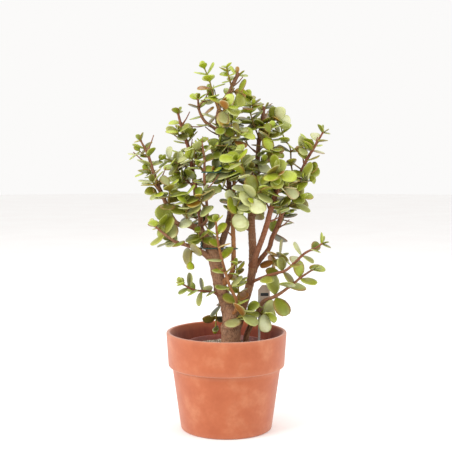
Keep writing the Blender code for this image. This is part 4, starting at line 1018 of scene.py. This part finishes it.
def place_sprig(stem, k, distance, side, length):
    """A short side twig, turned until it stands free."""
    direction = stem.at(distance)[1]
    base = stem.at(distance)[0] + stem.radial(distance, stem.corner_angle(side + 1)) * stem.radius(distance)
    leaves = Leaves(0.3, 3, stem.leaves.length * 0.96, 90 * (k % 2) + 20)
    for size in (1.0, 0.75, 0.55):
        for lean in (52, 66, 38):
            for swing in (0, 22, -22, 44, -44):
                away = stem.radial(distance, stem.corner_angle(side + 1) + math.radians(swing))
                along = direction * math.cos(math.radians(lean)) + away * math.sin(math.radians(lean))
                tip = base + (along + Vector((0, 0, 0.15))) * length * size
                points = [base, base + along * length * size * 0.5, tip]
                sprig = Stem("%s_%d" % (stem.name, k), points, (TWIG, TWIG * 0.8, TWIG * 0.6),
                             leaves, stem.tone, 4)
                whole = sprig.surface(LEAF_ROOM)
                sprig.start = NODE_HEIGHT
                sprig.tree = sprig.surface()
                if not sprig.tree.overlap(stem.tree) and not any(
                        whole.overlap(solid) for solid in SOLIDS if solid is not stem.tree):
                    SOLIDS.append(whole)
                    return sprig
    return None


def sprigs_of(stem):
    """The side twigs of a stem, each a golden angle further round it."""
    chance = random.Random(stem.name + " twigs")
    bearing = chance.uniform(0, math.tau)
    sprigs = []
    for k, distance in enumerate(stem.twig_places()):
        heading = Vector((math.cos(bearing), math.sin(bearing), 0))
        outward = [stem.radial(distance, stem.corner_angle(j + 1)) for j in range(stem.sides)]
        side = max(range(stem.sides), key=lambda j: outward[j].dot(heading))
        sprig = place_sprig(stem, k, distance, side, SPRIG_LENGTH * chance.uniform(0.8, 1.3))
        if sprig:
            sprigs.append((distance, side, sprig))
        bearing += GOLDEN_ANGLE
    return sprigs


def leaves_of(stem):
    """Opposite pairs of leaves, each pair turned a quarter from the one below."""
    chance = random.Random(stem.name)
    pairs = []
    places = stem.pair_places()
    for k, distance in enumerate(places):
        share = k / max(len(places) - 1, 1)
        for half in (0, 1):
            side = (k % 2) * stem.sides // 4 + half * stem.sides // 2
            length = stem.leaves.length * LEAF_SCALE * (1.04 - 0.34 * share ** 3)
            length *= chance.uniform(0.84, 1.12)
            spread = 68 - 26 * share ** 3 + chance.uniform(-10, 12)
            sway = chance.uniform(0.25, 0.95)
            leaf = place_leaf(stem, distance, stem.corner_angle(side + 1), length, spread, sway)
            pairs.append((distance, side, leaf))
    return [pair for pair in pairs if pair[2]]


def tie_line(names, height, facing, tail):
    """A wire's line: once round the named stems, then its two ends twisted together."""
    z = SOIL_Z + height
    middles = [place for name in names for place in STEMS[name].at_height(z)]
    reach = WIRE_RADIUS + SEAT_GAP + 1.0
    open_angle = math.radians(9)
    start = math.radians(facing)
    loop = []
    count = 30
    for k in range(count + 1):
        angle = start + open_angle + (math.tau - 2 * open_angle) * k / count
        out = Vector((math.cos(angle), math.sin(angle), 0))
        middle, radius = max(middles, key=lambda item: item[0].dot(out) + item[1])
        loop.append(Vector((middle.x, middle.y, z)) + out * (radius * 1.12 + reach))
    out = Vector((math.cos(start), math.sin(start), 0))
    across = Vector((-out.y, out.x, 0))
    root = (loop[0] + loop[-1]) / 2 + out * 2 * WIRE_RADIUS * 1.8
    strands = []
    for sign in (1, -1):
        turns = [math.tau * k / 8 for k in range(1, 11)]
        strands.append([root
                        + (across * math.cos(turn) + out * math.sin(turn)) * sign * 2 * WIRE_RADIUS * 0.62
                        + tail * (k / 9) for k, turn in enumerate(turns)])
    return strands[0][::-1] + loop + strands[1]


# ---------------------------------------------------------------- the plant's colours
WOOD_TINT = {
    "bark": ("#a2775a", "#8c6345", 1.0),       # at the foot, at the tip, and how old the wood is
    "brown": ("#946647", "#805137", 0.85),
    "red": ("#834e31", "#804932", 0.45),
    # orange: painted light, reddish-brown wood drawn paler and more orange, as it looks where lit, and
    # darker towards the tip.
    "orange": ("#9c6536", "#87552f", 0.45),
    # dark: painted shade, a darker copy of the stem wood for the central leader, which stands in the crown's
    # shade.
    "dark": ("#6c4a31", "#7d553a", 0.7),
    "leaf": ("#7a562a", "#8f942c", 0.1),
}

LEAF_TINT = {
    "young": ("#9fae24", "#a9b83a", "#92a21c", "#a5b230"),
    "bright": ("#92a01a", "#9ca826", "#869414"),
    "mature": ("#7f8a18", "#888f24", "#757e14", "#929530"),
    # olive and deep: darker greens, partly the leaves' own colour and partly painted shade for leaves at the
    # back and inside the crown.
    "olive": ("#6e6d10", "#766b18", "#636210", "#807326"),
    "deep": ("#474b0c", "#3f430c", "#51500e"),
    # mint: pale grey-green, partly the leaves' own bloom and partly painted sheen on leaves that face the
    # light.
    "mint": ("#b8bc86", "#acb074", "#c8cca0", "#9ca262"),
    "autumn": ("#a88a20", "#ac781a", "#956024"),
}
MARGINS = ("#bcc270", "#cace8c", "#afb45a", "#9a6036")

# Which tints a shoot's leaves have, in shares; every other stem takes the ones of its height.
# The pale mint shares of the front shoots are partly painted sheen, and the deep and olive shares of
# the low shoots by the trunk are partly painted shade.
LEAF_MIX = {
    "mint_shoot": {"mint": 6, "bright": 2}, "mint_side_shoot": {"mint": 7, "mature": 2},
    "mint_left_shoot": {"mint": 6, "mature": 2}, "inner_pale_shoot": {"mint": 6, "mature": 2},
    "front_shoot": {"bright": 4, "mature": 3, "mint": 1}, "low_front_shoot": {"mint": 4, "mature": 3},
    "trunk_front_shoot": {"mint": 3, "mature": 4}, "second_trunk": {"mature": 5, "olive": 3, "bright": 1},
    "low_right_shoot": {"mature": 4, "olive": 3, "mint": 1}, "left_hanging_shoot": {"olive": 1},
    "left_low_shoot": {"mint": 4, "mature": 3}, "left_front_shoot": {"mint": 5, "mature": 2},
    "fork_shoot": {"bright": 3, "mature": 3, "olive": 2}, "trunk_left_shoot": {"deep": 4, "olive": 2},
    "trunk_top_shoot": {"bright": 3, "mature": 3}, "low_left_shoot": {"mature": 3, "deep": 4, "bright": 1},
    "crown_tip_shoot": {"young": 4, "bright": 3}, "crown_upper_shoot": {"young": 4, "bright": 3},
    "crown_front_shoot": {"mature": 3, "autumn": 2, "mint": 2}, "hanging_shoot": {"olive": 3, "autumn": 2},
    "right_bend_shoot": {"olive": 4, "mature": 3}, "right_pale_shoot": {"mature": 4, "mint": 2},
    "inner_left_shoot": {"mature": 4, "olive": 2, "autumn": 1},
}


def leaf_mix(stem, place):
    """Shares of each tint: bright at the crown; pale in front, partly a painted sheen where the leaves
    face the light; deep and olive at the back and inside, partly painted shade.
    """
    if stem.owner in LEAF_MIX:
        return LEAF_MIX[stem.owner]
    height = place.z - SOIL_Z
    # Painted shade: darker tints at the back of the crown.
    if place.y > 45:
        return {"olive": 4, "deep": 3, "mature": 4}
    if height > 400:
        return {"bright": 4, "mature": 4, "young": 2, "olive": 2}
    # Painted sheen: paler mint tints on the leaves in front.
    if place.y < -4:
        return {"mature": 4, "mint": 5, "bright": 2, "olive": 1}
    # Inside the crown: the deep and olive shares are partly painted shade.
    return {"mature": 5, "olive": 3, "deep": 1, "bright": 2, "mint": 3}


def leaf_color(stem, place, share, chance):
    mix = dict(leaf_mix(stem, place))
    if share > 0.8:
        mix["young"] = mix.get("young", 0) + 5
    name = chance.choices(list(mix), list(mix.values()))[0]
    if chance.random() < AUTUMN_SHARE:
        name = "autumn"
    color = Vector(srgb(chance.choice(LEAF_TINT[name]))[:3]) * chance.uniform(0.86, 1.12)
    return color, srgb(chance.choice(MARGINS))


# ---------------------------------------------------------------- leaves
def leaf_form():
    """The leaf's form one unit long, its foot at 0 and its blade in X: a ball pressed flat,
    wedge-shaped at its foot and widest past its middle. Its rim layer says how near the rim
    each vertex is."""
    bm = bmesh.new()
    bmesh.ops.create_uvsphere(bm, u_segments=8, v_segments=8, radius=1.0)
    rim = bm.verts.layers.float.new("rim")
    for vert in bm.verts:
        x, y, z = vert.co
        way = (z + 1) / 2
        round_off = math.sqrt(max(1 - z * z, 0.0))
        foot = min(way / 0.24, 1.0)
        foot = 0.42 + 0.58 * foot * foot * (3 - 2 * foot)
        wide = 0.5 * round_off ** 0.85 * (0.72 + 0.42 * way) * foot
        deep = 0.5 * round_off ** 0.6
        turn = math.atan2(y, x) if round_off > 1e-4 else 0.0
        vert[rim] = max(abs(math.cos(turn)) if round_off > 1e-4 else 1.0, 0.0)
        vert.co = Vector((wide * math.cos(turn), deep * math.sin(turn), way))
    mesh = bpy.data.meshes.new("leaf_form")
    bm.to_mesh(mesh)
    bm.free()
    return mesh


LEAF_FORM = leaf_form()


def add_leaf(bm, leaf, color, margin, chance):
    """Set a leaf into the piece: cupped, curled and twisted a little, each in its own way."""
    first = len(bm.verts)
    bm.from_mesh(LEAF_FORM)
    bm.verts.ensure_lookup_table()
    rim = bm.verts.layers.float["rim"]
    blade = bm.verts.layers.float_color["blade"]
    edge = bm.verts.layers.float_color["margin"]
    length = leaf.length * LEAF_FULLNESS
    wide = length * LEAF_WIDTH * chance.uniform(0.90, 1.12)
    thick = LEAF_BODY * min(1.0, 0.5 + 0.5 * length / LEAF_LENGTH)
    curl = chance.uniform(-0.03, 0.13)
    cup = chance.uniform(-0.10, 0.16)
    twist = math.radians(chance.uniform(-14, 14))
    foot = leaf.base - leaf.along * 1.2
    for k in range(first, len(bm.verts)):
        vert = bm.verts[k]
        x, y, z = vert.co
        angle = twist * z
        side = leaf.side * math.cos(angle) + leaf.face * math.sin(angle)
        up = leaf.face * math.cos(angle) - leaf.side * math.sin(angle)
        bend = cup * wide * (2 * x) ** 2 * 0.5 - curl * length * z * z
        vert.co = foot + leaf.along * (length * z) + side * (wide * x) + up * (thick * y + bend)
        vert[blade] = (*(color * (0.90 + 0.14 * z)), vert[rim])
        vert[edge] = margin


def leaf_layers(bm):
    bm.verts.layers.float.new("rim")
    bm.verts.layers.float_color.new("blade")
    bm.verts.layers.float_color.new("margin")


def side_leaves(stem, chance):
    """Small young leaves: a pair in the angle of some grown pairs, and the bud at the tip."""
    small = []
    for k, distance in enumerate(stem.pair_places()):
        if chance.random() < AXIL_SHARE:
            turn = 45 + 90 * (k % 2)
            for half in (0, 180):
                small.append((distance + 1.0, math.radians(turn + half), chance.uniform(0.42, 0.66),
                              chance.uniform(38, 62), 0.3))
    for half in (0, 180):
        turn = math.radians(90 * (len(stem.pair_places()) % 2) + half)
        small.append((stem.length - 0.4, turn, chance.uniform(0.42, 0.55), chance.uniform(16, 30), 0.15))
    for distance, angle, size, lean, sway in small:
        leaf = place_leaf(stem, distance, angle + stem.corner_angle(0),
                          stem.leaves.length * LEAF_SCALE * size, lean, sway)
        if leaf:
            yield leaf, distance / stem.length


def young_twigs(branch, chance):
    """Short soft twigs from the angles of some leaf pairs, where the crown is thick."""
    for k, distance in enumerate(branch.pair_places()[:-1]):
        point, along = branch.at(distance)
        height = point.z - SOIL_Z
        crowded = 1.0 if height > 185 and abs(point.x) < 95 else 0.45
        woody = branch.radius(0) > 2 * TWIG
        if woody:
            crowded *= 0.5
        if not 130 < height < 435 or chance.random() > TWIG_SHARE * crowded:
            continue
        turn = math.radians(90 * (k % 2) + chance.choice((0, 180)))
        out = branch.radial(distance, branch.corner_angle(0.5) + turn)
        if woody and out.y < 0:
            out = -out
        reach = chance.uniform(12, 20)
        heading = (along * 0.6 + out * 0.9 + Vector((0, -0.15, 0.2))).normalized()
        base = point + out * branch.radius(distance) * 0.4
        points = [base, base + heading * reach * 0.55, base + (heading + Vector((0, 0, 0.2))) * reach]
        leaves = Leaves(0.55, 2, branch.leaves.length * chance.uniform(0.92, 1.12), chance.uniform(0, 90))
        twig = Stem("%s_young_%d" % (branch.name, k), points, (1.1, 0.9, 0.7), leaves, "leaf", 4)
        twig.owner, twig.parent = branch.owner, branch
        twig.grown = []
        for pair, place in enumerate(twig.pair_places()):
            for half in (0, 180):
                angle = twig.corner_angle(0.5) + math.radians(90 * pair + half)
                leaf = place_leaf(twig, place, angle, leaves.length * LEAF_SCALE * YOUNG_ROOM,
                                  chance.uniform(48, 76), chance.uniform(0.2, 0.9))
                if leaf and leaf.length > YOUNG_LEAST:
                    leaf.length /= YOUNG_ROOM
                    twig.grown.append((place, leaf))
        if twig.grown:
            yield twig


# ---------------------------------------------------------------- wood
# Knots: how far along the stem, their bearing in degrees, how wide and how high.
KNOTS = {"main_trunk": [(58, -60, 8, 1.5), (96, -120, 7, 1.1), (128, 150, 8, 1.6), (72, 130, 9, 1.6)],
         "right_stem": [(70, -70, 6, 1.0), (112, 100, 7, 1.1)]}

# Folds round old wood: where along it, how far it slants, how deep (or proud) and how high it is.
# They also paint shade into the bark's tint where they draw it in, and a light line where they stand proud.
FOLDS = {"main_trunk": [(64, 6, 1.1, 1.3), (70, -7, 0.7, 1.0), (37, 1, -0.5, 0.9), (98, 3, 0.5, 1.2),
                        (120, -2, 0.45, 1.2), (148, 2, 0.4, 1.2)],
         "right_stem": [(58, 3, 0.5, 1.2), (104, -2, 0.4, 1.1), (139, 2, 0.4, 1.0)]}


def fold(stem, distance, angle):
    """How far the bark is drawn in at a place by the folds round the stem. add_wood also paints shade into
    the tint by it.
    """
    return sum(deep * math.exp(-((distance - place - slant * math.sin(angle)) / high) ** 2)
               for place, slant, deep, high in FOLDS.get(stem.name, ()))


def wood_ring(stem, distance, sides):
    """The corners of a stem's skin: ridged, with rings at old nodes, knots, and a flare at its foot."""
    middle = stem.at(distance)[0]
    radius = stem.radius(distance)
    old = min(radius / 9.0, 1.0)
    if stem.parent:
        radius *= 1 + 0.55 * math.exp(-max(distance - stem.parent.radius(0) * 0.7, 0) / (radius * 1.3))
    spacing = 11 + radius * 0.7
    phase = (distance + 3 * noise.noise(middle / 30)) % spacing
    scar = math.exp(-((phase - spacing / 2) / 1.1) ** 2)
    radius *= 1 + scar * (0.11 - 0.05 * old)
    for place in stem.leafy_places:
        radius += 0.45 * math.exp(-((distance - place) / 1.4) ** 2)
    corners = []
    for k in range(sides):
        angle = math.tau * k / sides
        out = stem.radial(distance, angle)
        rough = noise.fractal(middle / 14 + out * 1.3, 0.9, 2.0, 3) * 0.085 * old
        fine = noise.noise((middle + out * radius) / 2.1) * 0.16 * old
        bulge = 0.0
        for z, turn, size, height in KNOTS.get(stem.name, ()):
            away = math.remainder(angle - math.radians(turn), math.tau) * radius
            bulge += height * math.exp(-(((distance - z) / size) ** 2 + (away / size) ** 2))
        drawn_in = fold(stem, distance, angle)
        corners.append(middle + out * (radius * (1 + rough) + fine + bulge - drawn_in))
    return corners


def add_wood(bm, stem, tint_layer):
    """Draw a stem from inside its parent to its tip, and round its end off."""
    sides = 28 if stem.girth[0] > 10 else 14 if stem.sides == 8 else 8
    step = 1.2 if stem.girth[0] > 10 else 1.6 if stem.sides > 4 else 2.4
    places = stem.spaced(0.0, stem.length, step)
    rings = [wood_ring(stem, distance, sides) for distance in places]
    tip, along = stem.at(stem.length)
    end = stem.radius(stem.length)
    for reach, share in ((0.45, 0.86), (0.75, 0.5)):
        last = rings[len(places) - 1]
        rings.append([tip + along * end * reach * 0.7 + (corner - tip) * share for corner in last])
        places.append(stem.length)
    drawn = drawn_tube(bm, rings)
    low, high, age = WOOD_TINT[stem.tone]
    low, high = Vector(srgb(low)[:3]), Vector(srgb(high)[:3])
    for k, ring in enumerate(drawn):
        share = k / (len(drawn) - 1)
        color = low.lerp(high, share ** 1.5)
        for j, vert in enumerate(ring):
            # Painted shade in the folds: the tint is darker where a fold draws the bark in, and a painted
            # light line where a fold stands proud.
            dusk = 1 - 0.5 * fold(stem, places[k], math.tau * j / sides)
            vert[tint_layer] = (*(color * dusk), age * (1 - 0.5 * share))


def grow_piece(stem, bark_shade, leaf_shade):
    """One stem or shoot of the frame: its wood with its side twigs, and every leaf on them."""
    chance = random.Random(stem.name + " leaves")
    wood = bmesh.new()
    tint_layer = wood.verts.layers.float_color.new("tint")
    blades = bmesh.new()
    leaf_layers(blades)
    for branch in stem.branches:
        add_wood(wood, branch, tint_layer)
        if branch.leaves:
            for distance, leaf in branch.grown:
                share = distance / branch.length
                add_leaf(blades, leaf, *leaf_color(branch, leaf.base, share, chance), chance)
            for leaf, share in branch.small:
                add_leaf(blades, leaf, *leaf_color(branch, leaf.base, 0.9, chance), chance)
    stand_for(write_mesh(stem.name + "_wood", wood, [bark_shade], 180), "bark", stem.name)
    if stem.leaves:
        stand_for(write_mesh(stem.name + "_leaves", blades, [leaf_shade], 180), "leaf", stem.name)
    else:
        blades.free()


def grow_wood():
    """Every stem and shoot, each from the one that it grows from."""
    slim = (TWIG, TWIG, TWIG * 0.8)
    for growth in WOOD:
        grow_one(growth, growth.girth, 12 if growth.girth[0] > 10 else 8)
    for name, parent, points, pairs, length, turn in SHOOTS:
        grow_one(Growth(name, parent, points, slim, Leaves(0.3, pairs, length, turn), "leaf"), slim, 4)


def grow_one(growth, girth, sides):
    points = [Vector((x, y, z + SOIL_Z)) for x, y, z in growth.points]
    parent = STEMS.get(growth.parent)
    if parent:
        points[0] = parent.nearest(points[0])
    else:
        points[0].z = SOIL_Z - ROOT_DEPTH
    stem = Stem(growth.name, points, girth, growth.leaves, growth.tone, sides, TWIGS.get(growth.name))
    if parent:
        stem.step_clear_of(parent)
        stem.parent = parent
    STEMS[stem.name] = stem
    SOLIDS.append(stem.tree)


def frame_tree(node):
    """A frame solid's surface in millimetres, for leaves to keep clear of."""
    mesh = frame["nodes"][node].data
    corners = [vert.co / MM for vert in mesh.vertices]
    return BVHTree.FromPolygons(corners, [tuple(face.vertices) for face in mesh.polygons])


def grow_plant(bark_shade, leaf_shade):
    grow_wood()
    SOLIDS.extend(frame_tree(node) for node in ("terracotta_pot", "nursery_pot", "potting_soil",
                                                "plant_label", "low_tie", "high_tie"))
    for stem in STEMS.values():
        stem.sprigs = sprigs_of(stem)
    for stem in STEMS.values():
        stem.branches = [stem] + [sprig for _, _, sprig in stem.sprigs]
        for branch in stem.branches:
            branch.owner = stem.name
            branch.parent = branch.parent or (stem if branch is not stem else None)
            pairs = leaves_of(branch) if branch.leaves else []
            branch.grown = [(distance, leaf) for distance, _, leaf in pairs]
    for stem in STEMS.values():
        for branch in list(stem.branches):
            if branch.leaves:
                stem.branches += young_twigs(branch, random.Random(branch.name + " young"))
    for stem in STEMS.values():
        for branch in stem.branches:
            branch.leafy_places = [distance for distance, _ in branch.grown]
            small = random.Random(branch.name + " small")
            branch.small = list(side_leaves(branch, small)) if branch.leaves else []
    for stem in STEMS.values():
        grow_piece(stem, bark_shade, leaf_shade)


# ---------------------------------------------------------------- floor, light and camera
def studio():
    """A pale table top and paper backdrop colour, a broad soft key from the front left, a fill
    from the right and one from above."""
    shade = clouded("pale_table", 300, 2, [(0.3, "#f9f7f6"), (0.7, "#fbfaf9")], Roughness=0.8,
                    Specular_IOR_Level=0.2)
    bm = bmesh.new()
    bmesh.ops.create_circle(bm, cap_ends=True, segments=96, radius=9000,
                            matrix=Matrix.Translation((0, 0, -0.2)))
    floor = write_mesh("table_top", bm, [shade])

    world = bpy.data.worlds.new("pale_room")
    world.use_nodes = True
    backdrop = world.node_tree.nodes["Background"]
    backdrop.inputs["Color"].default_value = srgb("#fbfaf9")
    backdrop.inputs["Strength"].default_value = WORLD_LIGHT
    bpy.context.scene.world = world

    for name, place, power in SOFTBOXES:
        lamp = bpy.data.lights.new(name, "AREA")
        lamp.shape = "SQUARE"
        lamp.size = SOFTBOX_SIZE
        lamp.energy = power
        holder = bpy.data.objects.new(name, lamp)
        holder.location = place
        holder.rotation_euler = (AIM - Vector(place)).to_track_quat("-Z", "Y").to_euler()
        bpy.context.scene.collection.objects.link(holder)

    camera = bpy.data.cameras.new("camera")
    camera.sensor_width = 36.0
    camera.lens = CAMERA_LENS
    holder = bpy.data.objects.new("camera", camera)
    holder.location = CAMERA_PLACE
    holder.rotation_euler = (math.radians(CAMERA_TILT), 0, 0)
    bpy.context.scene.collection.objects.link(holder)
    bpy.context.scene.camera = holder
    bpy.context.scene.view_settings.view_transform = "Standard"


def main():
    studio()
    terracotta_pot(terracotta())
    nursery_pot(nursery_plastic())
    potting_soil(compost(), mineral_grit())
    plant_label(label_card(), label_ink(), stake_plastic())
    grow_plant(bark(), jade_leaf())
    wire_shade = coated_wire()
    tail = Vector((0, 0, TIE_TAIL))
    low_line = tie_line(("main_trunk", "central_leader", "centre_stem"), LOW_TIE_HEIGHT, 198, tail)
    high_line = tie_line(("central_leader", "centre_stem", "left_thin_stem"), HIGH_TIE_HEIGHT, 285, tail)
    round_wire("low_wire", low_line, wire_shade, "low_tie")
    round_wire("high_wire", high_line, wire_shade, "high_tie")


main()
